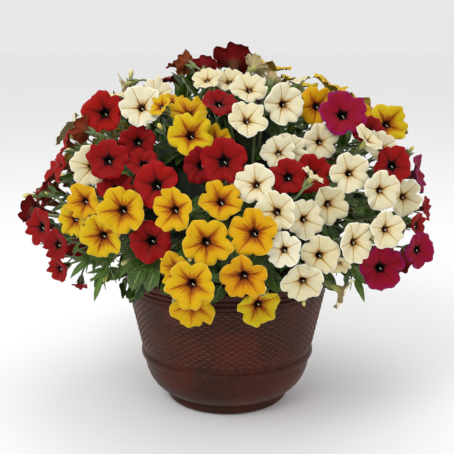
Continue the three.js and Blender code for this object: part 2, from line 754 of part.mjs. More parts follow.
function bloomHolds(bloom, point, margin) {
  const from = point.clone().sub(bloom.place);
  const height = from.dot(bloom.axis);
  const share = Math.sqrt(Math.max(0, from.lengthSq() - height * height)) / bloom.radius;
  const top = CUP_SHARE * bloom.radius - faceDepth(bloom, share);
  const inLimb = share < LIMB_SHARE && height < top && height > -backDepth(bloom, share) - margin;
  const tubeEnd = -(FUNNEL_SHARE + TUBE_SHARE) * bloom.radius;
  const inTube = share < NECK_REACH && height < 0 && height > tubeEnd;
  return inLimb || inTube;
}

function leafIsClear(leaf, stalkPoints, blooms, others) {
  const corners = leafCorners(leaf);
  if (corners.some((corner) => wedgeMargin(corner, leaf.plant) < LEAF_CLEAR)) return false;
  if (corners.some((p) => p.z < POT_HEIGHT + 4 && Math.hypot(p.x, p.y) < RIM_RADIUS + 4)) return false;
  const middle = leaf.root.clone().addScaledVector(leaf.along, leaf.length / 2);
  const near = (p, reach) => p.distanceTo(middle) < leaf.length / 2 + reach;
  if (stalkPoints.some((p) => near(p, 6) && bladeHolds(leaf, p, LEAF_CLEAR))) return false;
  for (const other of others) {
    if (!near(other.root, other.length)) continue;
    if (corners.some((corner) => bladeHolds(other, corner, 0))) return false;
    if (leafCorners(other).some((corner) => bladeHolds(leaf, corner, 0))) return false;
  }
  return !blooms
    .filter((bloom) => near(bloom.place, 2 * bloom.radius))
    .some(
      (bloom) =>
        corners.some((corner) => bloomHolds(bloom, corner, LEAF_CLEAR)) ||
        limbSamples(bloom).some((point) => bladeHolds(leaf, point, LEAF_CLEAR)),
    );
}

function leavesOnCore(stalkPoints, blooms) {
  const draw = seededDraws(11);
  const leaves = [];
  for (const direction of spiral(LEAF_SPOTS, LEAF_HEIGHTS)) {
    const root = moundPoint(direction, LEAF_ROOT_SHARE);
    const out = moundNormal(root);
    const aside = vec(0, 0, 1).cross(out).normalize();
    const upward = out.clone().cross(aside);
    const plant = plantAt(root);
    for (let attempt = 0; attempt < LEAF_TRIES; attempt++) {
      const length = LEAF_LENGTHS[0] + (LEAF_LENGTHS[1] - LEAF_LENGTHS[0]) * draw();
      const turn = draw() * 2 * Math.PI;
      const tilt = LEAF_TILTS[0] + (LEAF_TILTS[1] - LEAF_TILTS[0]) * draw();
      const sideways = aside
        .clone()
        .multiplyScalar(Math.cos(turn))
        .addScaledVector(upward, Math.sin(turn));
      const along = out.clone().multiplyScalar(Math.cos(tilt)).addScaledVector(sideways, Math.sin(tilt));
      const across = along.clone().cross(out).normalize();
      const leaf = {
        root,
        along,
        across,
        face: across.clone().cross(along).normalize(),
        length,
        halfWidth: length * LEAF_WIDTH_SHARE,
        plant,
      };
      if (leafIsClear(leaf, stalkPoints, blooms, leaves)) {
        leaves.push(leaf);
        break;
      }
    }
  }
  return leaves;
}

// A shoot: a stem that arches out of the core and down, with a leaf at its tip and one each side
function shootParts(shoot) {
  const direction = placeOnMound(...shoot.tip).sub(MOUND_CENTRE);
  const foot = moundPoint(direction.clone().add(vec(0, 0, shoot.hang)), SHOOT_SHARES[0]);
  const tip = moundPoint(direction, SHOOT_SHARES[1]);
  const bend = mix(foot, tip, SHOOT_BEND).add(vec(0, 0, shoot.hang / 2));
  const stem = rod([foot, bend, tip], [SHOOT_RADIUS, SHOOT_RADIUS, SHOOT_RADIUS * 0.8], 3);
  const along = tip.clone().sub(bend).normalize();
  const out = moundNormal(tip);
  const aside = along.clone().cross(out).normalize();
  const leaves = [-1, 0, 1].map((side) => {
    const lean = along.clone().addScaledVector(aside, side * SHOOT_LEAN).normalize();
    const across = lean.clone().cross(out).normalize();
    const root = mix(bend, tip, SHOOT_SEATS[side + 1]);
    const face = across.clone().cross(lean).normalize();
    const length = shoot.length * (side === 0 ? 1 : SHOOT_SIDE_SIZE);
    return { root, along: lean, across, face, length, halfWidth: length * shoot.width };
  });
  return { stem, leaves, plant: plantAt(tip) };
}

// One plant's share of the mound: a wedge from the pot's axis outwards
const plantAzimuth = (i) => -Math.PI / 2 + ((i + 0.5) * 2 * Math.PI) / PLANTS;

function plantWedge(i) {
  const half = Math.PI / PLANTS;
  const middle = plantAzimuth(i);
  const shape = new THREE.Shape();
  shape.moveTo(0, 0);
  for (const turn of [middle - half, middle, middle + half]) {
    shape.lineTo(WEDGE_REACH * Math.cos(turn), WEDGE_REACH * Math.sin(turn));
  }
  const geometry = new THREE.ExtrudeGeometry(shape, { depth: WEDGE_REACH, bevelEnabled: false });
  const inset = PLANT_GAP / 2 / Math.sin(half);
  geometry.translate(inset * Math.cos(middle), inset * Math.sin(middle), 0);
  return solidOf(geometry);
}

// How far inside a plant's wedge a point lies
function wedgeMargin(point, i) {
  const half = Math.PI / PLANTS;
  const turn = Math.atan2(point.y, point.x) - plantAzimuth(i);
  const offset = Math.atan2(Math.sin(turn), Math.cos(turn));
  return Math.hypot(point.x, point.y) * Math.sin(half - Math.abs(offset));
}

function plantAt(point) {
  const margins = Array.from({ length: PLANTS }, (_, i) => wedgeMargin(point, i));
  return margins.indexOf(Math.max(...margins));
}

const crownFoot = (i) =>
  vec(
    CROWN_CIRCLE * Math.cos(plantAzimuth(i)),
    CROWN_CIRCLE * Math.sin(plantAzimuth(i)),
    SOIL_TOP - CROWN_DEPTH,
  );

function crown(i, grow = 0) {
  const foot = crownFoot(i);
  const top = foot.clone().setZ(CROWN_TOP);
  return rod([foot.setZ(foot.z - grow), top], [CROWN_RADIUS * 0.8 + grow, CROWN_RADIUS + grow], 6);
}

// The pot's outside from its underside up over the rim, then its inside back down to the floor.
// The wall leans out from the ledge bead to a groove under the rolled rim.
const POT_OUTSIDE = [
  [0, 0],
  [FOOT_RADIUS - 6, 0],
  [FOOT_RADIUS, 5],
  [FOOT_RADIUS, 11],
  [104, 24],
  [114, 42],
  [LEDGE_RADIUS - 3, LEDGE_HEIGHT - 4],
  [LEDGE_RADIUS, LEDGE_HEIGHT],
  [LEDGE_RADIUS - 1.5, LEDGE_HEIGHT + 5],
  [RIM_RADIUS - 4.5, 166],
  [RIM_RADIUS - 1.5, 170],
  [RIM_RADIUS - 3, 176],
  [RIM_RADIUS, 180],
  [RIM_RADIUS, POT_HEIGHT - 2],
  [RIM_RADIUS - 2, POT_HEIGHT],
];
const POT_INSIDE = [
  [RIM_RADIUS - 6, POT_HEIGHT],
  [RIM_RADIUS - 4.5 - WALL, 168],
  [LEDGE_RADIUS - 1.5 - WALL, LEDGE_HEIGHT + 5],
  [110, 44],
  [98, 28],
  [FOOT_RADIUS - 10, FLOOR_THICKNESS],
  [0, FLOOR_THICKNESS],
];

function lathe(profile, sides) {
  const geometry = new THREE.LatheGeometry(
    profile.map(([r, z]) => new THREE.Vector2(r, z)),
    sides,
  );
  geometry.rotateX(Math.PI / 2);
  return geometry;
}

function potSolid() {
  const body = solidOf(lathe([...POT_OUTSIDE, ...POT_INSIDE], POT_SIDES));
  const drain = new THREE.CylinderGeometry(DRAIN_RADIUS, DRAIN_RADIUS, 4 * FLOOR_THICKNESS, 8);
  drain.rotateX(Math.PI / 2);
  let pot = body;
  for (let k = 0; k < DRAIN_HOLES; k++) {
    const turn = ((k + 0.5) * 2 * Math.PI) / DRAIN_HOLES;
    const hole = drain.clone();
    hole.translate(DRAIN_CIRCLE * Math.cos(turn), DRAIN_CIRCLE * Math.sin(turn), 0);
    pot = pot.subtract(solidOf(hole));
  }
  return pot;
}

// The mix fills the pot's inside to below the rim, and each plant's crown stands in a plain hole
function soilSolid() {
  const against = POT_INSIDE.slice(1).map(([r, z]) => [Math.max(0, r - 1.3 * GAP), z + GAP]);
  const surface = [
    [0, SOIL_TOP + SOIL_HEAP[1]],
    [SOIL_HEAP[0], SOIL_TOP],
  ];
  let soil = solidOf(lathe([...surface, ...against].reverse(), POT_SIDES));
  for (let i = 0; i < PLANTS; i++) {
    soil = soil.subtract(crown(i, GAP));
  }
  return soil;
}

// The whole potted plant
const root = new THREE.Group();

function addPiece(name, solid, colour, roughness) {
  const material = new THREE.MeshStandardMaterial({ color: colour, roughness, metalness: 0 });
  const mesh = new THREE.Mesh(geometryOf(solid), material);
  mesh.name = name;
  root.add(mesh);
}

addPiece("pot", potSolid(), COLOURS.pot, ROUGHNESS.pot);
addPiece("potting_mix", soilSolid(), COLOURS.soil, ROUGHNESS.soil);

const seen = bloomsOfPicture();
const blooms = [...seen, ...bloomsOfFill(seen)];
settle(blooms);
const sprayNames = [...new Set(blooms.map((bloom) => bloom.spray))];
const bloomsOf = (spray) => blooms.filter((bloom) => bloom.spray === spray);

for (const spray of sprayNames) {
  const own = bloomsOf(spray);
  addPiece(`blooms_${spray}`, spraySolid(own), COLOURS[own[0].colour], ROUGHNESS.petals);
}

// Points along every stalk and pedicel, for the leaves to keep clear of
function pointsOnStalks() {
  const points = [];
  for (const spray of sprayNames) {
    const own = bloomsOf(spray);
    const { stand, fork } = stalkEnds(own);
    for (const bloom of own) {
      const calyx = calyxOf(bloom);
      for (let k = 0; k < 8; k++) {
        points.push(mix(fork, calyx, k / 8), mix(calyx, bloom.place, k / 8));
      }
    }
    for (let k = 0; k <= 3; k++) points.push(mix(stand, fork, k / 3));
  }
  return points;
}

const shoots = SHOOTS.map(shootParts);
const leaves = leavesOnCore(pointsOnStalks(), blooms);
const core = coreSolid();
const stalkHoles = joined(sprayNames.map((spray) => stalkHole(bloomsOf(spray))));
for (let i = 0; i < PLANTS; i++) {
  const own = leaves.filter((leaf) => leaf.plant === i).map(leafSolid);
  const tangle = core.intersect(plantWedge(i));
  const sprouts = shoots
    .filter((shoot) => shoot.plant === i)
    .flatMap((shoot) => [shoot.stem, ...shoot.leaves.map(leafSolid)]);
  const plant = joined([tangle, crown(i), ...own, ...sprouts]).subtract(stalkHoles);
  addPiece(`plant_${i + 1}`, mainBody(plant), COLOURS.leaf, ROUGHNESS.leaf);
}

export default root;
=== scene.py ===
"""Potted petunias: a mixed bedding plant mound in a round brown plastic patio pot.

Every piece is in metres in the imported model's frame: +Z up, the origin in the middle of the pot's underside.
"""
import math

import bpy
import numpy as np
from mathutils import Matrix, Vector


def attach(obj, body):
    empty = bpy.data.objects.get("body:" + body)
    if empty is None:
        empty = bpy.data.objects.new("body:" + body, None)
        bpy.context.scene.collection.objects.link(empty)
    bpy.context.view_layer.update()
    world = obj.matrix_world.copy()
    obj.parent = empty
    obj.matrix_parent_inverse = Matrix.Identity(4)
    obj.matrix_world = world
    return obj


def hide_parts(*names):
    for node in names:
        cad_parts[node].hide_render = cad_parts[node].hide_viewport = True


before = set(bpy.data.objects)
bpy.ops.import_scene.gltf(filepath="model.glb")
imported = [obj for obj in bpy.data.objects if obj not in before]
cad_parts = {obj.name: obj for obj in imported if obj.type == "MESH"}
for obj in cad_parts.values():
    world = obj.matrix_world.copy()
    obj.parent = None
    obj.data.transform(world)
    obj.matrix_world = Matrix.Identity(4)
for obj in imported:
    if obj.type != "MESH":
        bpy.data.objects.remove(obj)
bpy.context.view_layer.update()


# The picture's view: the camera looks down a little on the mound, and the blooms' places below are
# read along its lines of sight.
PICTURE_SIDE = 454
VIEW_PITCH = math.radians(13.5)
VIEW_DISTANCE = 1.262
VIEW_AIM_HEIGHT = 0.243  # on the pot's axis
VIEW_FOCAL = 910  # in pixels of the picture
VIEW_RIGHT = np.array([1.0, 0.0, 0.0])
VIEW_AHEAD = np.array([0.0, math.cos(VIEW_PITCH), -math.sin(VIEW_PITCH)])
VIEW_UP = np.array([0.0, math.sin(VIEW_PITCH), math.cos(VIEW_PITCH)])
EYE = np.array([0.0, 0.0, VIEW_AIM_HEIGHT]) - VIEW_DISTANCE * VIEW_AHEAD

camera_data = bpy.data.cameras.new("camera")
camera_data.angle = 2 * math.atan(PICTURE_SIDE / 2 / VIEW_FOCAL)
camera = bpy.data.objects.new("camera", camera_data)
bpy.context.scene.collection.objects.link(camera)
camera.location = EYE
camera.rotation_euler = (math.pi / 2 - VIEW_PITCH, 0, 0)
bpy.context.scene.camera = camera


# The pot: one blow-moulded shell of dark brown plastic with a rolled rim over two grooves, a band of
# raised dashes in staggered rows, a bead a third of the way up, a smooth bowl and a beaded foot.
POT_LOWER = [  # radius, height and how far the corner is rounded, from the underside up to the wall
    (0.0, 0.0, 0.0), (0.0795, 0.0, 0.002), (0.0840, 0.0015, 0.003), (0.0862, 0.0060, 0.004),
    (0.0858, 0.0108, 0.003), (0.0842, 0.0128, 0.0012), (0.0900, 0.0150, 0.003), (0.1040, 0.0250, 0.010),
    (0.1130, 0.0410, 0.012), (0.1170, 0.0580, 0.008), (0.1176, 0.0636, 0.0008), (0.1208, 0.0645, 0.0016),
    (0.1218, 0.0685, 0.0026), (0.1206, 0.0722, 0.0016), (0.1182, 0.0736, 0.0012), (0.1192, 0.0780, 0.0),
]
POT_UPPER = [  # from the wall over the rim and down the inside to the floor
    (0.1378, 0.1640, 0.0), (0.1366, 0.1662, 0.0008), (0.1392, 0.1682, 0.0012), (0.1394, 0.1708, 0.0012),
    (0.1372, 0.1730, 0.0008), (0.1402, 0.1752, 0.0012), (0.1404, 0.1778, 0.0012), (0.1386, 0.1798, 0.0008),
    (0.1418, 0.1815, 0.002), (0.1424, 0.1880, 0.002), (0.1408, 0.1900, 0.0012), (0.1372, 0.1898, 0.0012),
    (0.1350, 0.1850, 0.003), (0.1158, 0.0720, 0.004), (0.1120, 0.0500, 0.004), (0.0980, 0.0280, 0.004),
    (0.0780, 0.0080, 0.003), (0.0, 0.0080, 0.0),
]
DASHES_ROUND = 64
DASH_ROWS = 20
DASH_BAND = (0.0815, 0.1615)  # lowest and highest level of the rows
DASH_RELIEF = 0.0016
COLUMNS_A_DASH = 6
ROWS_A_DASH = 5
DRAIN_HOLES = 4
DRAIN_RADIUS = 0.005
DRAIN_CIRCLE = 0.048
UPRIGHT = np.array([0.0, 0.0, 1.0])


def unit(vectors):
    return vectors / np.linalg.norm(vectors, axis=-1, keepdims=True)


def even_turns(count):
    """Angles in even steps round a circle."""
    return 2 * math.pi * np.arange(count) / count


def frame_of(axis):
    """Two directions across an axis."""
    aside = UPRIGHT if abs(axis[2]) < 0.9 else np.array([0.0, 1.0, 0.0])
    u = unit(np.cross(aside, axis))
    return u, np.cross(axis, u)


def rings_about(centre, axis, turns, radii, heights):
    """Rings of points round an axis through a centre, one ring for each radius and height."""
    u, v = frame_of(axis)
    return (centre + (radii * np.cos(turns))[..., None] * u + (radii * np.sin(turns))[..., None] * v
            + heights[..., None] * axis)


def rounded_outline(corners, steps=3):
    """Each corner becomes a short parabola that starts and ends its rounding before and after it."""
    places = np.array([(r, z) for r, z, _ in corners])
    outline = [places[0]]
    for before, corner, after, (_, _, rounding) in zip(places, places[1:], places[2:], corners[1:]):
        way_in, way_out = corner - before, after - corner
        start = corner - way_in * min(0.5, rounding / np.linalg.norm(way_in))
        end = corner + way_out * min(0.5, rounding / np.linalg.norm(way_out))
        for t in np.linspace(0, 1, steps + 1):
            outline.append((1 - t) ** 2 * start + 2 * t * (1 - t) * corner + t**2 * end)
    outline.append(places[-1])
    return np.array(outline)


def with_ends(values):
    """Values at the points of rings, as (copies, rows, columns, n), in one list: each copy's own values
    and then the means of its first and of its last row."""
    copies, rows, columns, n = values.shape
    ends = values[:, [0, -1]].mean(axis=2)
    return np.concatenate([values.reshape(copies, rows * columns, n), ends], axis=1).reshape(-1, n)


def closed_skins(skins):
    """The points and faces of closed skins, each given by its rings as (copies, rows, columns, 3): quads
    between the rows, and at each end a fan of triangles from the mean point of the end row. Rows run so
    that faces point outwards."""
    points, quads, fans, count = [], [], [], 0
    for rings in skins:
        copies, rows, columns, _ = rings.shape
        starts = count + (rows * columns + 2) * np.arange(copies).reshape(-1, 1, 1)
        around = np.arange(columns)
        following = (around + 1) % columns
        row = columns * np.arange(rows - 1)[:, None]
        between = np.stack([row + around, row + following, row + columns + following,
                            row + columns + around], axis=-1)
        first = np.stack([np.full(columns, rows * columns), following, around], axis=-1)
        last_row = (rows - 1) * columns
        last = np.stack([np.full(columns, rows * columns + 1), last_row + around, last_row + following],
                        axis=-1)
        points.append(with_ends(rings))
        quads.append((between.reshape(1, -1, 4) + starts).reshape(-1, 4))
        fans.append((np.concatenate([first, last])[None] + starts).reshape(-1, 3))
        count += copies * (rows * columns + 2)
    return np.concatenate(points), np.concatenate(quads).tolist() + np.concatenate(fans).tolist()


def shown(name, skins, material, replaced=(), fields=None, crease=None):
    """A smooth mesh object at the origin, riding on the one body, made of closed skins, with one material
    and any vector fields at the rings' points. Edges sharper than the crease, in degrees, are folds."""
    points, faces = closed_skins(skins)
    mesh = bpy.data.meshes.new(name)
    mesh.from_pydata(points, [], faces)
    mesh.polygons.foreach_set("use_smooth", np.ones(len(mesh.polygons), bool))
    for field, values in (fields or {}).items():
        made = mesh.attributes.new(field, "FLOAT_VECTOR", "POINT")
        made.data.foreach_set("vector", np.ascontiguousarray(with_ends(values), np.float32).ravel())
    if crease:
        mesh.set_sharp_from_angle(angle=math.radians(crease))
    mesh.materials.append(material)
    piece = bpy.data.objects.new(name, mesh)
    bpy.context.scene.collection.objects.link(piece)
    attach(piece, "root")
    if replaced:
        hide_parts(*replaced)
    return piece


def finish_of(name, roughness, **values):
    """A new material with a Principled BSDF, whose constant values are given by their sockets' names.
    Returns the material, its node tree and the shader."""
    material = bpy.data.materials.new(name)
    material.use_nodes = True
    tree = material.node_tree
    shader = tree.nodes["Principled BSDF"]
    shader.inputs["Roughness"].default_value = roughness
    for socket, value in values.items():
        shader.inputs[socket.replace("_", " ")].default_value = value
    return material, tree, shader


def node(tree, kind, inputs=None, **settings):
    """A node of that kind. Inputs are given by name or index, each a value or another node's output."""
    made = tree.nodes.new(kind)
    for setting, value in settings.items():
        setattr(made, setting, value)
    for socket, value in (inputs or {}).items():
        if isinstance(value, bpy.types.NodeSocket):
            tree.links.new(value, made.inputs[socket])
        else:
            made.inputs[socket].default_value = value
    return made


def colour(red, green, blue):
    """A colour in linear light from its everyday values of 0 to 255."""
    share = np.array([red, green, blue]) / 255
    linear = np.where(share > 0.04045, ((share + 0.055) / 1.055) ** 2.4, share / 12.92)
    return (*linear.tolist(), 1.0)


def math_of(tree, operation, *values):
    """The output of a math node."""
    return node(tree, "ShaderNodeMath", dict(enumerate(values)), operation=operation).outputs[0]


def blend_of(tree, factor, first, second, share=None):
    """The output of a colour mix node, with the factor scaled by the share if there is one."""
    if share:
        factor = math_of(tree, "MULTIPLY", factor, share)
    made = node(tree, "ShaderNodeMix", {"Factor": factor, 6: first, 7: second}, data_type="RGBA")
    return made.outputs[2]


def ramp_of(tree, value, low, high):
    """0 where the value is low, 1 where it is high, and smooth between."""
    return node(tree, "ShaderNodeMapRange", {"Value": value, "From Min": low, "From Max": high},
                interpolation_type="SMOOTHSTEP").outputs[0]


def place_of(tree):
    return node(tree, "ShaderNodeTexCoord").outputs["Object"]


def field_of(tree, name):
    """A vector field of the mesh."""
    return node(tree, "ShaderNodeAttribute", attribute_name=name).outputs["Vector"]


def parts_of(tree, vector):
    return node(tree, "ShaderNodeSeparateXYZ", {0: vector}).outputs


def painted(tree, shader, paint, relief=None, strength=0.0, depth=0.0):
    """The paint is the shader's colour, and the relief, through a bump, turns its normal."""
    tree.links.new(paint, shader.inputs["Base Color"])
    if relief is not None:
        bump = node(tree, "ShaderNodeBump", {"Strength": strength, "Distance": depth, "Height": relief})
        tree.links.new(bump.outputs[0], shader.inputs["Normal"])


def noise_of(tree, vector, scale, detail=2.0, roughness=0.5):
    made = node(tree, "ShaderNodeTexNoise",
                {"Vector": vector, "Scale": scale, "Detail": detail, "Roughness": roughness})
    return made.outputs["Fac"]


def raised_dashes(level, turn):
    """Height of the dashes over the wall, 0 to 1. Rows are even steps of the level, and every other row
    is turned by half a dash. A dash is a flattened cosine hump along the row and across it."""
    up = (level - DASH_BAND[0]) / (DASH_BAND[1] - DASH_BAND[0]) * DASH_ROWS
    row = np.floor(up)
    along = turn / (2 * math.pi) * DASHES_ROUND + 0.5 * (row % 2)
    across_hump = np.clip(-0.1 - 1.1 * np.cos(2 * math.pi * (up - row)), 0, 1)
    along_hump = np.clip(0.35 - 1.3 * np.cos(2 * math.pi * along), 0, 1)
    inside = (up > 0) & (up < DASH_ROWS)
    return inside * across_hump * along_hump


def pot_material():
    """Semi-gloss brown plastic with redder clouds, a faint grain and a painted highlight on the dashes."""
    material, tree, shader = finish_of("brown_plastic", 0.4, Specular_IOR_Level=0.15)
    place = place_of(tree)
    clouds = ramp_of(tree, noise_of(tree, place, 14.0, 3.0), 0.42, 0.68)
    fine = noise_of(tree, place, 260.0, 3.0)
    plain = blend_of(tree, clouds, colour(50, 23, 14), colour(76, 30, 15))
    dash = parts_of(tree, field_of(tree, "pot_place"))["X"]
    # The raised dashes are painted lighter than the wall between them, a painted highlight on their tops.
    dash_highlight_paint = blend_of(tree, dash, plain, colour(128, 76, 54), 0.55)
    worn = blend_of(tree, ramp_of(tree, fine, 0.5, 0.8), dash_highlight_paint, colour(92, 56, 45), 0.5)
    painted(tree, shader, worn, fine, 0.12, 0.0004)
    rough = node(tree, "ShaderNodeMapRange",
                 {"Value": noise_of(tree, place, 45.0, 3.0), "To Min": 0.32, "To Max": 0.5})
    tree.links.new(rough.outputs[0], shader.inputs["Roughness"])
    return material


def drilled(piece, cutters):
    """The piece with the cutters taken away from it."""
    for cutter in cutters:
        cut = piece.modifiers.new("drain", "BOOLEAN")
        cut.operation = "DIFFERENCE"
        cut.solver = "MANIFOLD"
        cut.object = cutter
    bpy.context.view_layer.update()
    evaluated = piece.evaluated_get(bpy.context.evaluated_depsgraph_get())
    mesh = bpy.data.meshes.new_from_object(evaluated)
    piece.modifiers.clear()
    piece.data = mesh
    for cutter in cutters:
        bpy.data.objects.remove(cutter)


pot_lower = rounded_outline(POT_LOWER)
pot_upper = rounded_outline(POT_UPPER)
wall_share = np.linspace(0, 1, DASH_ROWS * ROWS_A_DASH + 1)[1:-1, None]
pot_wall = pot_lower[-1] * (1 - wall_share) + pot_upper[0] * wall_share
profile = np.concatenate([pot_lower[1:], pot_wall, pot_upper[:-1]])
pot_turns = even_turns(DASHES_ROUND * COLUMNS_A_DASH)
pot_radii, pot_levels = profile[:, :1], profile[:, 1:]
on_wall = slice(len(pot_lower) - 1, len(pot_lower) - 1 + len(pot_wall))
pot_dashes = np.zeros((len(profile), len(pot_turns)))
pot_dashes[on_wall] = raised_dashes(pot_levels[on_wall], pot_turns)
pot_rings = rings_about(0, UPRIGHT, pot_turns, pot_radii + DASH_RELIEF * pot_dashes, pot_levels)
pot = shown("pot_shell", [pot_rings[None]], pot_material(), ["pot"],
            {"pot_place": np.repeat(pot_dashes[None, ..., None], 3, axis=-1)})

drains = []
for k in range(DRAIN_HOLES):
    turn = (k + 0.5) * 2 * math.pi / DRAIN_HOLES
    bpy.ops.mesh.primitive_cylinder_add(
        vertices=32, radius=DRAIN_RADIUS, depth=0.04,
        location=(DRAIN_CIRCLE * math.cos(turn), DRAIN_CIRCLE * math.sin(turn), 0))
    drains.append(bpy.context.object)
drilled(pot, drains)


# The potting mix: dark peat and bark that fills the pot to a finger's breadth below the rim. Its top
# is crumbly and a little higher in the middle, where the plants were set in.
SOIL_TOP = 0.165
SOIL_RADIUS = 0.1300
SOIL_CRUMB = 0.0035
SOIL_HEAP = 0.004  # how much higher the middle is, and how low the top's edge is rounded
SOIL_INSIDE = [(0.0770, 0.0084), (0.0970, 0.0284), (0.1108, 0.0504), (0.1146, 0.0725),
               (0.1312, SOIL_TOP - SOIL_HEAP)]  # radius and height of its side, in the pot
SOIL_COLUMNS = 128
SOIL_ROWS = 40


def rumpled(points, seed, wave):
    """Smooth bumps between about -1 and 1: sums of sines along random directions, at a wavelength that
    halves from one octave to the next, with half the height."""
    draw = np.random.default_rng(seed)
    height = np.zeros(points.shape[:-1])
    for octave in range(4):
        for _ in range(5):
            direction = draw.normal(size=3)
            direction *= 2 * math.pi * 2**octave / (wave * np.linalg.norm(direction))
            height += np.sin(points @ direction + draw.uniform(0, 2 * math.pi)) / 2.2 / 2**octave
    return height / 2


def soil_material():
    """Near-black brown crumbs with paler bark and a few grains of grit."""
    material, tree, shader = finish_of("potting_mix", 0.95)
    place = place_of(tree)
    crumbs = noise_of(tree, place, 120.0, 4.0)
    bark = ramp_of(tree, noise_of(tree, place, 60.0, 2.0), 0.52, 0.66)
    grit = ramp_of(tree, noise_of(tree, place, 420.0, 0.0), 0.70, 0.74)
    base = blend_of(tree, crumbs, colour(24, 17, 12), colour(58, 40, 28))
    barky = blend_of(tree, bark, base, colour(84, 58, 38))
    painted(tree, shader, blend_of(tree, grit, barky, colour(176, 168, 150)), crumbs, 0.7, 0.002)
    return material


soil_shares = np.linspace(1, 0, SOIL_ROWS)[:-1]
soil_top = np.stack([SOIL_RADIUS * soil_shares, SOIL_TOP + SOIL_HEAP * (1 - soil_shares**2)], axis=1)
soil_profile = np.concatenate([SOIL_INSIDE, soil_top])
soil_rings = rings_about(0, UPRIGHT, even_turns(SOIL_COLUMNS), soil_profile[:, :1], soil_profile[:, 1:])
soil_crumbs = SOIL_CRUMB * rumpled(soil_rings[len(SOIL_INSIDE):], 3, 0.03)
soil_rings[len(SOIL_INSIDE):, :, 2] += soil_crumbs * np.minimum(1, 6 * (1 - soil_shares))[:, None]
shown("potting_mix_crumbs", [soil_rings[None]], soil_material(), ["potting_mix"])


# The mound of blooms: a flattened ball that overhangs the pot. Each bloom has a place on it, the
# way its face looks, a radius, and a rank that says which of two blooms lies on top.
MOUND_CENTRE = np.array([0.0, 0.0, 0.262])
MOUND_HALF_WIDTH = 0.272
MOUND_HALF_DEPTH = 0.250
MOUND_RISE = 0.212
MOUND_DROP = 0.125
SIGHT_REACH = 0.4
SIGHT_STEP = 0.002

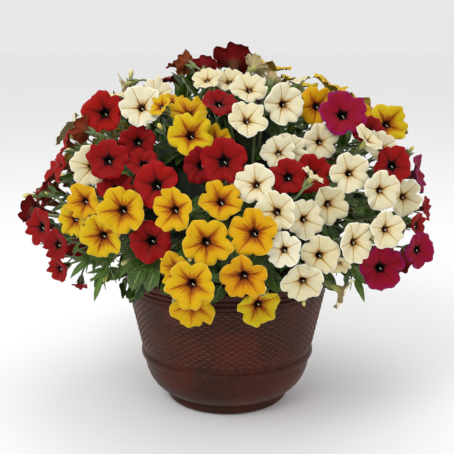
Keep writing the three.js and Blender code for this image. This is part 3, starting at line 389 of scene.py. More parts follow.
# One row a bloom: picture place, width across in pixels, lean of its face to the right, up and
# towards the eye, how much further down the picture it counts, and how warm its colour is
SPRAYS = {
    "red_upper_left": [(102, 112, 45, -0.3, 0.05, 0.95, 0, 1.0), (79, 128, 30, -0.7, 0.25, -0.5, -30, 0.8)],
    "red_left_edge": [(66, 143, 28, -0.85, 0.3, 0.25, 0, 0.7), (61, 166, 34, -0.85, 0.1, 0.4, 0, 0.8)],
    "red_left": [(136, 138, 38, 0, 0.1, 0.95, -35, 0.3), (143, 157, 34, 0, 0.5, 0.8, 0, 0.5),
                 (110, 161, 43, -0.2, 0.1, 0.95, 0, 0.4), (115, 182, 38, 0, 0.5, 0.8, -25, 0.4)],
    "red_left_front": [(154, 184, 48, -0.3, 0.1, 0.95, 0, 0.8), (148, 244, 45, -0.15, -0.2, 0.95, 0, 0.5)],
    "red_far_left": [(43, 186, 24, -0.7, 0.6, 0.1, 0, 0.1), (25, 209, 30, -0.85, 0.2, -0.3, 0, 0.1),
                     (38, 227, 38, -0.6, 0, 0.7, 0, 0.5)],
    "red_low_left": [(56, 245, 32, -0.5, -0.1, 0.8, 0, 0.2), (57, 270, 28, -0.6, -0.3, 0.7, 0, 0.5),
                     (73, 290, 17, -0.1, -0.9, 0.3, 0, 0.4)],
    "yellow_left": [(69, 222, 37, -0.5, -0.3, 0.8, -25, 0.2), (86, 201, 38, -0.45, -0.2, 0.85, 0, 0.7),
                    (123, 210, 49, -0.15, -0.1, 0.98, 40, 0.5), (101, 238, 46, -0.2, -0.3, 0.9, -25, 0.3)],
    "yellow_centre": [(182, 210, 45, -0.4, 0, 0.9, 35, 0.6), (221, 202, 44, 0.1, 0.4, 0.9, 0, 0.7)],
    "yellow_low": [(204, 239, 49, 0.15, -0.15, 0.95, 0, 0.6), (197, 276, 50, -0.15, -0.2, 0.95, 40, 0.5),
                   (193, 308, 47, 0, -0.4, 0.9, 0, 0.5), (171, 269, 36, -0.6, -0.1, 0.8, 0, 0.7)],
    "yellow_front": [(256, 234, 49, -0.2, 0.1, 0.95, 0, 0.8), (244, 268, 49, -0.05, -0.45, 0.85, 0, 1.0),
                     (260, 307, 46, 0.3, -0.4, 0.85, 0, 0.0)],
    "yellow_upper": [(190, 130, 48, 0, 0.25, 0.95, 0, 0.1), (218, 127, 33, 0.1, 0.4, 0.9, 0, 0.6)],
    "yellow_top": [(176, 88, 29, 0.2, 0.8, 0.5, 0, 0.6), (165, 110, 26, -0.5, 0.4, 0.6, 0, 0.4),
                   (188, 102, 42, 0, 0.6, 0.7, 0, 0.5)],
    "yellow_right": [(317, 104, 40, 0, 0.1, 0.98, 0, 0.9), (368, 100, 36, 0.15, 0.5, 0.85, 0, 0.8),
                     (388, 124, 43, 0.15, 0, 0.98, 0, 0.1)],
    "cream_top_left": [(142, 109, 43, 0, 0.2, 0.98, 0, 0.1), (154, 87, 38, 0, 0.5, 0.85, 0, 0.4),
                       (122, 86, 26, -0.85, -0.3, 0.1, 0, 0.9)],
    "cream_left": [(89, 166, 44, -0.25, 0, 0.95, -20, 0.6)],
    "cream_top": [(207, 80, 31, -0.2, 0.6, 0.7, 0, 0.7), (229, 77, 32, 0, 0.6, 0.8, 0, 0.7),
                  (249, 87, 38, 0, 0.5, 0.85, 0, 0.5)],
    "cream_top_back": [(257, 65, 29, 0.5, 0.6, -0.4, 0, 0.8), (274, 80, 18, 0.4, 0.5, -0.5, 0, 1.0),
                       (299, 79, 25, -0.2, 0.85, 0.2, 0, 0.6)],
    "cream_upper": [(248, 118, 41, 0.2, 0.4, 0.9, 14, 0.6), (285, 104, 42, 0.3, -0.1, 0.95, 0, 0.3)],
    "cream_middle": [(257, 148, 44, 0.4, 0.75, 0.4, 0, 0.6), (277, 146, 36, -0.1, 0.2, 0.95, 0, 0.2),
                     (294, 142, 37, 0.1, 0.2, 0.95, 0, 0.4), (327, 140, 38, 0.2, 0, 0.95, 0, 0.5)],
    "cream_right_top": [(360, 149, 34, 0.5, 0.6, 0.5, 0, 0.6), (382, 146, 36, 0.2, 0.35, 0.9, 0, 0.4)],
    "cream_centre": [(255, 184, 42, -0.25, 0.2, 0.95, 0, 0.3), (279, 212, 44, -0.3, 0, 0.95, 12, 0.5),
                     (310, 219, 42, 0.4, 0, 0.9, 0, 0.4), (301, 192, 27, 0.5, 0.7, 0.2, 0, 0.9)],
    "cream_right": [(350, 173, 41, 0.1, 0, 0.98, 0, 0.4), (376, 190, 41, 0.35, -0.1, 0.9, 0, 0.4),
                    (411, 198, 39, 0.35, -0.1, 0.9, 0, 0.6)],
    "cream_right_low": [(337, 210, 43, 0.35, -0.3, 0.85, 0, 0.7), (379, 228, 39, 0.35, -0.1, 0.9, 40, 0.6)],
    "cream_low": [(353, 242, 43, 0.5, -0.1, 0.8, 20, 0.6), (320, 255, 41, 0.15, 0, 0.95, 0, 0.7),
                  (341, 272, 27, 0.1, -0.7, 0.6, -40, 0.9), (345, 293, 36, 0.8, -0.45, 0.1, -60, 1.0)],
    "cream_low_front": [(287, 249, 37, -0.2, 0, 0.95, -25, 0.0), (302, 278, 43, 0, -0.5, 0.85, 0, 0.5)],
    "red_centre": [(196, 164, 38, -0.2, 0, 0.95, 0, 0.2), (223, 161, 48, -0.1, 0, 0.98, 10, 0.5)],
    "red_top_centre": [(219, 102, 36, 0.1, 0.6, 0.75, 0, 0.3)],
    "red_right_centre": [(287, 174, 39, -0.1, 0.3, 0.9, 8, 0.5), (313, 170, 43, 0, 0.1, 0.98, 0, 0.6)],
    "red_right": [(371, 127, 35, 0.1, 0.3, 0.9, 0, 0.4), (390, 166, 41, 0.3, 0, 0.95, 0, 0.6)],
    "magenta_top": [(341, 117, 49, 0.05, 0.3, 0.95, 28, 0.5)],
    "magenta_right": [(424, 173, 40, 0.9, 0.15, 0.35, 0, 0.0)],
    "red_far_right": [(431, 208, 26, 0.85, 0.1, 0.4, 0, 0.4), (419, 226, 30, 0.75, 0, 0.6, 0, 0.5)],
    "magenta_low_right": [(413, 249, 37, 0.5, -0.1, 0.8, 0, 0.4), (382, 268, 47, 0.2, -0.05, 0.95, 0, 0.7)],
    "red_top": [(235, 49, 45, 0.05, 0.75, -0.5, 0, 0.4), (205, 61, 26, 0, 0.6, -0.7, 0, 0.2),
                (190, 65, 26, -0.6, 0.3, -0.5, 0, 1.0), (175, 58, 24, -0.35, 0.9, 0, 0, 1.0)],
}

# The sprays on the sides and back that the picture doesn't show, five blooms each
FILL_SPRAYS = 14
FILL_ROUND = 4  # blooms round a spray's middle one
FILL_RADIUS = 0.027
FILL_SPREAD = 0.045
FILL_CANDIDATES = 700
FILL_HEIGHTS = (0.98, -0.42)
FILL_FOREMOST = 0.020  # the mound's front is in the picture
FILL_SHARE = 0.94  # of the mound, where these blooms sit
FILL_LOWEST = 0.222
FILL_SHARED = 0.060  # how far behind the pot's axis the nearest spray's colour is taken
FILL_LEAN = (0.6, 0.6, 0.4)  # most lean of a face along the three axes
FILL_COLOURS = ["cream", "red", "yellow", "magenta", "cream", "red", "yellow"]

# The form of a bloom, in shares of its radius, and how blooms are kept apart
LIMB_THICKNESS = 0.0011
THROAT_SHARE = 0.2
FUNNEL_SHARE = 0.3
NECK_SHARE = 0.46
TUBE_SHARE = 0.95
CLEAR = 0.0023
SETTLE_REACH = 0.14  # blooms farther apart than this never meet
SAMPLE_SHARES = (0.5, 0.75, 1)
SAMPLE_TURNS = 14
SAMPLE_REACH = 1.05
SETTLE_SWEEPS = 60
SETTLE_STEP = 0.3
SETTLE_LEAST_TURN = 0.2


def mound_level(points):
    """1 on the mound's surface and less inside: the length of the point with each axis scaled by the
    mound's half size along it."""
    away = points - MOUND_CENTRE
    tall = np.where(away[..., 2] > 0, MOUND_RISE, MOUND_DROP)
    return np.sqrt((away[..., 0] / MOUND_HALF_WIDTH) ** 2 + (away[..., 1] / MOUND_HALF_DEPTH) ** 2
                   + (away[..., 2] / tall) ** 2)


def mound_point(directions, share=1.0):
    """The point of the mound, shrunk to a share, in each direction from its centre."""
    level = mound_level(MOUND_CENTRE + directions)
    return MOUND_CENTRE + directions * (share / level)[..., None]


def mound_normal(points):
    """The way out of the mound: each part of the place from its centre, over its half size squared."""
    away = points - MOUND_CENTRE
    tall = np.where(away[..., 2] > 0, MOUND_RISE, MOUND_DROP)
    wide, deep = np.full(tall.shape, MOUND_HALF_WIDTH), np.full(tall.shape, MOUND_HALF_DEPTH)
    return unit(away / np.stack([wide, deep, tall], axis=-1) ** 2)


def place_on_mound(x, y):
    """The mound's first point, or its nearest, along the line of sight through a pixel."""
    middle = PICTURE_SIDE / 2
    ray = unit(VIEW_FOCAL * VIEW_AHEAD + (x - middle) * VIEW_RIGHT + (middle - y) * VIEW_UP)
    reach = np.arange(VIEW_DISTANCE - SIGHT_REACH, VIEW_DISTANCE + SIGHT_REACH - SIGHT_STEP / 2, SIGHT_STEP)
    points = EYE + reach[:, None] * ray
    level = mound_level(points) - 1
    found = np.argmax(level < 0) if (level < 0).any() else np.argmin(level)
    return mound_point(points[found] - MOUND_CENTRE)


def picture_way(right, up, toward):
    """The direction with these parts to the right, up and towards the camera."""
    return unit(right * VIEW_RIGHT + up * VIEW_UP - toward * VIEW_AHEAD)


def seeded_draws(state, times=16807, modulus=2147483647):
    """A repeatable row of numbers from 0 to 1, each state the last one times a factor."""
    while True:
        state = state * times % modulus
        yield state / modulus


def spiral(count, heights):
    """Even directions on a golden-angle spiral between two heights of the unit ball."""
    index = np.arange(count)
    height = heights[0] + (heights[1] - heights[0]) * (index + 0.5) / count
    level = np.sqrt(1 - height**2)
    turn = index * math.pi * (3 - math.sqrt(5))
    return np.stack([level * np.cos(turn), level * np.sin(turn), height], axis=1)


def blooms_of_picture():
    """The blooms of the table, as dictionaries."""
    blooms = []
    for spray, rows in SPRAYS.items():
        for x, y, across, right, up, toward, shift, warmth in rows:
            place = place_on_mound(x, y)
            depth = (place - EYE) @ VIEW_AHEAD
            blooms.append({"spray": spray, "place": place, "axis": picture_way(right, up, toward),
                           "radius": across / 2 * depth / VIEW_FOCAL, "rank": y + shift, "warmth": warmth})
    return blooms


def blooms_of_fill(seen):
    """Each further spray goes where the mound is barest, farthest from all the blooms so far, with one
    bloom in the middle and the others round it."""
    draw = seeded_draws(7)
    candidates = mound_point(spiral(FILL_CANDIDATES, FILL_HEIGHTS))
    candidates = candidates[candidates[:, 1] > FILL_FOREMOST]
    room = np.min([np.linalg.norm(candidates - bloom["place"], axis=1) - bloom["radius"]
                   for bloom in seen], axis=0)
    blooms = []
    for i in range(FILL_SPRAYS):
        centre = candidates[np.argmax(room)]
        away = np.linalg.norm(candidates - centre, axis=1)
        room = np.minimum(room, away - (FILL_SPREAD + FILL_RADIUS))
        colour_name = FILL_COLOURS[i % len(FILL_COLOURS)]
        if centre[1] < FILL_SHARED:
            nearest = np.argmin([np.linalg.norm(bloom["place"] - centre) for bloom in seen])
            colour_name = seen[nearest]["spray"].split("_")[0]
        out = mound_normal(centre)
        aside = unit(np.cross(UPRIGHT, out))
        upward = np.cross(out, aside)
        start = next(draw) * 2 * math.pi
        for k in range(FILL_ROUND + 1):
            turn = start + k * 2 * math.pi / FILL_ROUND
            spread = FILL_SPREAD if k else 0
            near = centre + spread * (math.cos(turn) * aside + math.sin(turn) * upward)
            near[2] = max(near[2], FILL_LOWEST)
            seat = mound_point(near - MOUND_CENTRE, FILL_SHARE)
            lean = [next(draw) - 0.5, next(draw) - 0.5, next(draw)] * np.array(FILL_LEAN)
            radius = FILL_RADIUS * (0.88 + 0.24 * next(draw))
            rank = 1000 * next(draw)
            blooms.append({"spray": f"back_{i + 1:02d}", "colour": colour_name,
                           "place": seat, "axis": unit(mound_normal(seat) + lean), "radius": radius,
                           "rank": rank, "warmth": rank % 1})
    return blooms


def inner_share(share):
    """1 at the throat and inside it, and evenly down to 0 at the rim."""
    return np.maximum(0, 1 - np.maximum(share, THROAT_SHARE)) / (1 - THROAT_SHARE)


def face_depth(bloom, share):
    """How far below its edge plane a limb's face lies."""
    return FUNNEL_SHARE * bloom["radius"] * inner_share(share)


def back_depth(bloom, share):
    """How far below its edge plane a limb's back lies."""
    return LIMB_THICKNESS + NECK_SHARE * bloom["radius"] * inner_share(share)


def seen_from(bloom, points):
    """Each point's height over a bloom's edge plane and its distance from the axis, in radii."""
    away = points - bloom["place"]
    height = away @ bloom["axis"]
    beside = np.sqrt(np.maximum(0, (away**2).sum(axis=-1) - height**2))
    return height, beside / bloom["radius"]


def settle(blooms):
    """Where two limbs would cross, the one of higher rank moves out along its axis and the other moves
    in, a little at a time, until all of them are clear of each other."""
    shares = np.array(SAMPLE_SHARES)[:, None]
    for bloom in blooms:
        bloom["samples"] = rings_about(0, bloom["axis"], even_turns(SAMPLE_TURNS), bloom["radius"] * shares,
                                       -face_depth(bloom, shares)).reshape(-1, 3)
    order = sorted(blooms, key=lambda bloom: bloom["rank"])
    pairs = [(under, over) for i, under in enumerate(order) for over in order[i + 1:]
             if under["axis"] @ over["axis"] >= SETTLE_LEAST_TURN
             and np.linalg.norm(under["place"] - over["place"]) < SETTLE_REACH]
    for _ in range(SETTLE_SWEEPS):
        for under, over in pairs:
            between = under["place"] - over["place"]
            if math.sqrt(between @ between) > under["radius"] + over["radius"]:
                continue
            height, share = seen_from(under, over["place"] + over["samples"])
            lack = CLEAR + LIMB_THICKNESS - height - face_depth(under, share)
            above = np.where((share > SAMPLE_REACH) | (abs(height) > under["radius"]), 0, lack).max()
            height, share = seen_from(over, under["place"] + under["samples"])
            lack = CLEAR + height + back_depth(over, share)
            below = np.where((share > SAMPLE_REACH) | (abs(height) > over["radius"]), 0, lack).max()
            lift = max(above, below, 0) * SETTLE_STEP
            over["place"] = over["place"] + lift * over["axis"]
            under["place"] = under["place"] - lift * under["axis"]


blooms = blooms_of_picture()
blooms += blooms_of_fill(blooms)
settle(blooms)
for bloom in blooms:
    bloom.setdefault("colour", bloom["spray"].split("_")[0])
    bloom["calyx"] = bloom["place"] - (FUNNEL_SHARE + TUBE_SHARE) * bloom["radius"] * bloom["axis"]
spray_names = list(dict.fromkeys(bloom["spray"] for bloom in blooms))
blooms_of = {spray: [bloom for bloom in blooms if bloom["spray"] == spray] for spray in spray_names}


# The corollas: five fused petals that flare from a narrow dark throat into a wide, softly ruffled
# limb. A vein runs to each lobe's middle, with a pillow each side of it and a notch between lobes.
LOBES = 5
COLUMNS_A_LOBE = 10
FACE_SHARES = np.array([1.0, 0.965, 0.91, 0.83, 0.74, 0.65, 0.56, 0.47, 0.385, 0.31, 0.25, 0.2])
BACK_SHARES = np.array([0.26, 0.36, 0.52, 0.70, 0.86, 0.975])
TUBE_OUTSIDE = np.array([(0.085, -1.25), (0.12, -1.0), (0.15, -0.75), (0.19, -0.54), (0.225, -0.39)])
TUBE_INSIDE = np.array([(0.168, -0.40), (0.125, -0.58), (0.09, -0.85), (0.055, -1.10)])
FLARE = 1.6  # how flat the limb is before it turns down into the throat
PETAL_EDGE = 0.00035  # thickness near the rim
PETAL_NECK = 0.0012  # thickness near the throat
NOTCH_POWER = 3.5  # the higher, the narrower the notches between the lobes
LOBE_TIP = (0.02, 0.16)  # how far a lobe's tip stands out and how wide it is
LOBE_FALL = 0.045  # how far a lobe's sides fall
VEIN_GROOVE = (0.022, 0.14)  # depth and width
CURL_FROM = 0.8
RIM_WAVE = 0.015
RUFFLES = np.array([3, 4, 7, 8, 11, 13])  # waves round the rim
RUFFLE_WEIGHTS = np.array([0.8, 0.7, 0.6, 0.5, 0.4, 0.35])
PETAL_FORMS = {  # depth of the notches, of the ruffles, of the pillows and of the rim's curl back
    "yellow": (0.18, 0.088, 0.090, 0.08),
    "cream": (0.16, 0.066, 0.095, 0.07),
    "red": (0.15, 0.080, 0.075, 0.09),
    "magenta": (0.13, 0.068, 0.075, 0.06),
}


def corollas(own, seed):
    """Rings of the blooms' skins, from the foot of the tube up its outside, over the limb's back and
    face, and down inside the throat. Over the limb the height is a power curve of the distance from
    the throat, with pillows that are a sine of the place across the lobe, a droop for each lobe, and
    ruffles that are sums of cosines round the rim. Returns the rings and two fields of marks: where
    a point lies on the bloom, and its place across the lobe with the bloom's warmth and the side."""
    draw = np.random.default_rng(seed)
    columns = LOBES * COLUMNS_A_LOBE
    turn = even_turns(columns)
    lobe = np.arange(columns) // COLUMNS_A_LOBE
    across = 2 * (np.arange(columns) % COLUMNS_A_LOBE) / COLUMNS_A_LOBE - 1
    rings, wheres, kinds = [], [], []
    for bloom in own:
        notch, ruffle, pillow, curl = PETAL_FORMS[bloom["colour"]]
        notches = notch * draw.uniform(0.6, 1.6, LOBES)
        droops = np.clip(draw.normal(-0.02, 0.06, LOBES), -0.14, 0.09)
        reaches = draw.uniform(-0.04, 0.03, LOBES)
        phases = draw.uniform(0, 2 * math.pi, len(RUFFLES))
        bend, bend_turn = draw.uniform(0, 0.06), draw.uniform(0, 2 * math.pi)
        spin = draw.uniform(-0.3, 0.3)
        waves = np.cos(np.outer(RUFFLES, turn) + phases[:, None])
        which = np.where(across < 0, lobe, (lobe + 1) % LOBES)
        middle = 1 - across**2
        rim = (1 - notches[which] * np.abs(across) ** NOTCH_POWER + reaches[lobe] * middle
               + RIM_WAVE * waves[3:].sum(axis=0) + LOBE_TIP[0] * np.exp(-(across / LOBE_TIP[1]) ** 2))
        limb_shares = np.concatenate([BACK_SHARES, FACE_SHARES])[:, None]
        flare = np.clip((limb_shares - THROAT_SHARE) / (1 - THROAT_SHARE), 0, 1)
        outer = limb_shares**2
        height = (-FUNNEL_SHARE * (1 - flare) ** FLARE
                  - LOBE_FALL * outer * np.abs(across) ** 1.5
                  + outer * droops[lobe] * middle
                  + pillow * limb_shares**1.3 * np.sin(math.pi * np.abs(across))
                  - VEIN_GROOVE[0] * flare**0.5 * np.exp(-(across / VEIN_GROOVE[1]) ** 2)
                  + ruffle * limb_shares**3 * (RUFFLE_WEIGHTS @ waves)
                  + bend * outer * np.cos(2 * turn + bend_turn)
                  - curl * np.clip((limb_shares - CURL_FROM) / (1 - CURL_FROM), 0, 1) ** 2)
        thick = (PETAL_EDGE + (PETAL_NECK - PETAL_EDGE) * (1 - BACK_SHARES)) / bloom["radius"]
        height[:len(BACK_SHARES)] -= thick[:, None]
        radius = limb_shares * (1 + (rim - 1) * outer)
        five = 1 + 0.05 * np.cos(LOBES * turn)
        radii = np.concatenate([TUBE_OUTSIDE[:, :1] * five, radius, TUBE_INSIDE[:, :1] * five])
        heights = np.concatenate([np.repeat(TUBE_OUTSIDE[:, 1:], columns, 1), height,
                                  np.repeat(TUBE_INSIDE[:, 1:], columns, 1)])
        shares = np.concatenate([np.linspace(0.02, 0.18, len(TUBE_OUTSIDE)), limb_shares[:, 0],
                                 np.linspace(0.17, 0.02, len(TUBE_INSIDE))])[:, None] * np.ones(columns)
        side = (np.arange(len(shares)) < len(TUBE_OUTSIDE) + len(BACK_SHARES))[:, None] * np.ones(columns)
        rings.append(rings_about(bloom["place"], bloom["axis"], turn + spin, bloom["radius"] * radii,
                                 bloom["radius"] * heights))
        wheres.append(np.stack([np.cos(turn) + 0 * shares, np.sin(turn) + 0 * shares, shares], axis=-1))
        kinds.append(np.stack([np.abs(across) + 0 * shares, bloom["warmth"] + 0 * shares, side], axis=-1))
    return np.array(rings), np.array(wheres), np.array(kinds)


def petal_marks():
    """A node group for the marks that all the petals share. It reads where a point lies on its bloom
    and puts out masks: the dark star of the throat, the streaks and the flush that fan out from it,
    the five veins, the rim's pale edge and fine radial wrinkles. The flush is partly the warmer middle
    of the petal and partly painted shade: it reaches furthest along each midrib, so the funnel and the
    midribs are painted darker and the pillows between them stay lighter. The pale edge is partly the
    rim's own tint and partly a painted highlight. Streaks and wrinkles are noise along the bloom's
    circle, which has no seam."""
    group = bpy.data.node_groups.new("petal_marks", "ShaderNodeTree")
    for name, value in [("Throat Size", 0.2), ("Streak Reach", 0.5), ("Flush Reach", 0.6),
                        ("Vein Reach", 0.8), ("Vein Width", 0.02), ("Edge Width", 0.04)]:
        socket = group.interface.new_socket(name, in_out="INPUT", socket_type="NodeSocketFloat")
        socket.default_value = value
    for name in ["Throat", "Streaks", "Flush And Shade", "Veins", "Edge", "Wrinkles", "Warmth", "Back", "Tube"]:
        group.interface.new_socket(name, in_out="OUTPUT", socket_type="NodeSocketFloat")
    given = node(group, "NodeGroupInput").outputs
    result = node(group, "NodeGroupOutput")
    where = field_of(group, "petal_place")
    share = parts_of(group, where)["Z"]
    across, warmth, back = parts_of(group, field_of(group, "petal_kind"))
    shift = node(group, "ShaderNodeCombineXYZ", {"Z": math_of(group, "MULTIPLY", warmth, 37.0)}).outputs[0]

    def round_noise(times, along, detail):
        scaled = node(group, "ShaderNodeVectorMath", {0: where, 1: (times, times, along)},
                      operation="MULTIPLY").outputs[0]
        moved = node(group, "ShaderNodeVectorMath", {0: scaled, 1: shift}, operation="ADD").outputs[0]
        return noise_of(group, moved, 1.0, detail)

    ragged = math_of(group, "SUBTRACT", round_noise(8.0, 0.6, 3.0), 0.5)
    middle = math_of(group, "SUBTRACT", 1.0, across)
    star = math_of(group, "POWER", middle, 3.0)
    throat_edge = math_of(group, "MULTIPLY", given["Throat Size"],
                          math_of(group, "MULTIPLY_ADD", star, 0.55, 1.0))
    throat_ragged = math_of(group, "MULTIPLY_ADD", ragged, 0.10, throat_edge)
    throat = ramp_of(group, math_of(group, "SUBTRACT", throat_ragged, share), -0.06, 0.04)
    streak_reach = math_of(group, "MULTIPLY", given["Streak Reach"],
                           math_of(group, "MULTIPLY_ADD", star, 0.45, 0.8))
    streak_end = math_of(group, "MULTIPLY_ADD", ragged, 0.9, streak_reach)
    streaks = ramp_of(group, math_of(group, "SUBTRACT", streak_end, share), -0.10, 0.20)
    # The flush: a warmer middle, and painted shade darkening the funnel, furthest along the midribs.
    flush_reach = math_of(group, "MULTIPLY", given["Flush Reach"],
                          math_of(group, "MULTIPLY_ADD", star, 0.6, 0.8))
    flush_end = math_of(group, "MULTIPLY_ADD", ragged, 0.5, flush_reach)
    flush_and_shade = ramp_of(group, math_of(group, "SUBTRACT", flush_end, share), -0.15, 0.3)
    off_vein = math_of(group, "MULTIPLY", math_of(group, "MULTIPLY", across, share), 0.63)
    near_vein = ramp_of(group, math_of(group, "SUBTRACT", given["Vein Width"], off_vein), -0.012, 0.008)
    vein_end = math_of(group, "MULTIPLY_ADD", ragged, 0.4, given["Vein Reach"])
    before_end = ramp_of(group, math_of(group, "SUBTRACT", vein_end, share), -0.1, 0.2)
    veins = math_of(group, "MULTIPLY", near_vein, before_end)
    # The pale edge: partly the rim's own tint, partly a painted highlight on the rim.
    edge_start = math_of(group, "SUBTRACT", share, math_of(group, "SUBTRACT", 1.0, given["Edge Width"]))
    edge = ramp_of(group, edge_start, -0.012, 0.02)
    wrinkles = round_noise(16.0, 2.5, 3.0)
    tube = ramp_of(group, share, 0.34, 0.16)
    for name, value in [("Throat", throat), ("Streaks", streaks), ("Flush And Shade", flush_and_shade), ("Veins", veins),
                        ("Edge", edge), ("Wrinkles", wrinkles), ("Warmth", warmth), ("Back", back),
                        ("Tube", tube)]:
        group.links.new(value, result.inputs[name])
    return group


# The flush colours are partly painted shade, and the edge colours partly a painted highlight.
PETAL_COLOURS = {  # each with the sizes of its marks
    "yellow": {"cool": (198, 180, 20), "warm": (202, 150, 8), "flush_and_shade": (192, 112, 6),
               "streak": (128, 46, 6), "throat": (66, 24, 8), "vein": (132, 64, 10), "edge": (220, 190, 84),
               "back": (184, 152, 54), "old": (196, 160, 70), "tube": (168, 150, 66),
               "sizes": (0.19, 0.50, 0.64, 0.85, 0.017, 0.022)},
    "cream": {"cool": (217, 215, 194), "warm": (212, 202, 160), "flush_and_shade": (214, 184, 88),
              "streak": (152, 88, 18), "throat": (84, 42, 14), "vein": (160, 112, 38),
              "edge": (230, 227, 212), "back": (200, 188, 140), "old": (190, 166, 122),
              "tube": (180, 176, 104),
              "sizes": (0.165, 0.34, 0.40, 1.0, 0.015, 0.06)},
    "red": {"cool": (118, 4, 14), "warm": (158, 16, 8), "flush_and_shade": (104, 9, 6),
            "streak": (66, 3, 5), "throat": (10, 2, 3), "vein": (92, 4, 8), "edge": (150, 12, 24),
            "back": (118, 16, 20), "old": (140, 66, 34), "tube": (92, 50, 28),
            "sizes": (0.22, 0.33, 0.55, 0.80, 0.012, 0.05)},
    "magenta": {"cool": (116, 3, 60), "warm": (142, 6, 42), "flush_and_shade": (134, 6, 20),
                "streak": (80, 3, 10), "throat": (8, 3, 3), "vein": (96, 3, 20), "edge": (128, 6, 80),
                "back": (104, 8, 56), "old": (98, 20, 50), "tube": (88, 36, 38),
                "sizes": (0.20, 0.30, 0.80, 0.85, 0.012, 0.10)},
}


def petal_material(name, recipe, group):
    """Petal tissue: a body colour between two tones, laid over with the flush and its painted shade, the
    streaks, veins and throat, and the edge and its painted highlight; paler on the back, with fine
    wrinkles and a velvety sheen."""
    material, tree, shader = finish_of(f"petal_{name}", 0.6, Sheen_Weight=0.06, Sheen_Roughness=0.4,
                                       Specular_IOR_Level=0.10)
    marks = node(tree, "ShaderNodeGroup", dict(enumerate(recipe["sizes"])), node_tree=group).outputs
    tone = {key: colour(*value) for key, value in recipe.items() if key != "sizes"}
    body = blend_of(tree, marks["Warmth"], tone["cool"], tone["warm"])
    body = blend_of(tree, ramp_of(tree, marks["Wrinkles"], 0.3, 0.75), body, tone["flush_and_shade"], 0.35)
    # The flush lays on painted shade, and the edge a painted highlight.
    for mark, laid, share in [("Flush And Shade", "flush_and_shade", 0.7), ("Edge", "edge", 0.8), ("Streaks", "streak", 0.85),
                              ("Veins", "vein", 0.75), ("Throat", "throat", None)]:
        body = blend_of(tree, marks[mark], body, tone[laid], share)
    aged = blend_of(tree, ramp_of(tree, marks["Warmth"], 0.5, 1.0), tone["back"], tone["old"])
    veined = blend_of(tree, marks["Veins"], aged, tone["tube"], 0.5)
    rear = blend_of(tree, marks["Tube"], veined, tone["tube"])
    relief = math_of(tree, "MULTIPLY_ADD", marks["Veins"], -0.6, marks["Wrinkles"])
    painted(tree, shader, blend_of(tree, marks["Back"], body, rear), relief, 0.35, 0.0008)
    return material


marks_group = petal_marks()
petal_materials = {name: petal_material(name, recipe, marks_group)
                   for name, recipe in PETAL_COLOURS.items()}
for index, spray in enumerate(spray_names):
    rings, wheres, kinds = corollas(blooms_of[spray], 100 + index)
    tint = blooms_of[spray][0]["colour"]
    shown(f"petals_{spray}", [rings], petal_materials[tint], [f"blooms_{spray}"],
          {"petal_place": wheres, "petal_kind": kinds}, crease=70)


# The sprays' stalks: a green stalk for each spray that rises from a plant's crown through the tangle
# and forks into a pedicel for each bloom, which ends in a calyx of five narrow sepals.
STALK_FOOT = 0.6  # shares of the mound at which a spray's stalk stands and forks
STALK_FORK = 0.765
STALK_RADII = (0.0034, 0.0019)
PEDICEL_RADII = (0.0011, 0.0014)
PLANTS = 5
CROWN_CIRCLE = 0.066
CROWN_TOP = 0.200
SEPAL_COLUMNS = 20
SEPAL_LENGTH = 0.011
CALYX_CUP = np.array([(-0.0020, 0.0012), (-0.0008, 0.0024), (0.0006, 0.0031)])  # level and radius
SEPAL_STEPS = (0.3, 0.7, 1.0)
SEPAL_FOOT = (0.0006, 0.0033)  # level and radius
SEPAL_SPREAD = 0.22  # radius against level
SEPAL_FLARE = 0.0010
SEPAL_THICKNESS = 0.0006
PEDICEL_START = 0.12  # how far down the stalk the pedicels leave it
PEDICEL_SEAT = 0.001  # how far a pedicel ends below the calyx's level
STALK_RISE = 0.012


def tubes(paths, ends, sides):
    """Rings of round rods along paths of points: at each point a circle across the path's direction
    there, whose radius goes evenly from the first end's to the last's, turned from one reference for the
    whole path, so that a rod doesn't twist."""
    along = unit(np.gradient(paths, axis=1))
    chord = unit(paths[:, -1] - paths[:, 0])
    helper = np.where(np.abs(chord[:, 2:]) < 0.9, UPRIGHT, [1.0, 0.0, 0.0])
    reference = unit(np.cross(chord, helper))[:, None]
    u = unit(reference - (reference * along).sum(axis=-1, keepdims=True) * along)
    v = np.cross(along, u)
    turn = even_turns(sides)
    circle = np.cos(turn)[:, None] * u[..., None, :] + np.sin(turn)[:, None] * v[..., None, :]
    return paths[..., None, :] + np.linspace(*ends, paths.shape[1])[:, None, None] * circle


def arcs(starts, controls, ends, stations):
    """Points at the stations, 0 to 1, of quadratic curves that are drawn towards the controls."""
    t = stations[:, None]
    return (1 - t) ** 2 * starts[:, None] + 2 * t * (1 - t) * controls[:, None] + t**2 * ends[:, None]


def arc_ways(starts, controls, ends, stations):
    """The directions of the same curves at the stations."""
    t = stations[:, None]
    return unit(2 * (1 - t) * (controls - starts)[:, None] + 2 * t * (ends - controls)[:, None])


def calyxes(own):
    """Rings of the blooms' calyxes: a cup whose rim is drawn out into five points by a power of a
    cosine round the tube, out along the points' outside and back down inside them."""
    turn = even_turns(SEPAL_COLUMNS)
    point = 0.12 + 0.88 * np.abs(np.cos(LOBES / 2 * turn)) ** 1.6
    steps = np.array(SEPAL_STEPS + SEPAL_STEPS[-2::-1])[:, None]
    inner = np.array([0, 0, 0, 1, 1])[:, None]
    rise = steps * SEPAL_LENGTH * point
    levels = SEPAL_FOOT[0] + rise
    radii = SEPAL_FOOT[1] + SEPAL_SPREAD * rise + SEPAL_FLARE * steps**2 * point - SEPAL_THICKNESS * inner
    levels = np.concatenate([np.repeat(CALYX_CUP[:, :1], SEPAL_COLUMNS, 1), levels])
    radii = np.concatenate([np.repeat(CALYX_CUP[:, 1:], SEPAL_COLUMNS, 1), radii])
    return np.array([rings_about(bloom["calyx"], bloom["axis"], turn, radii, levels) for bloom in own])


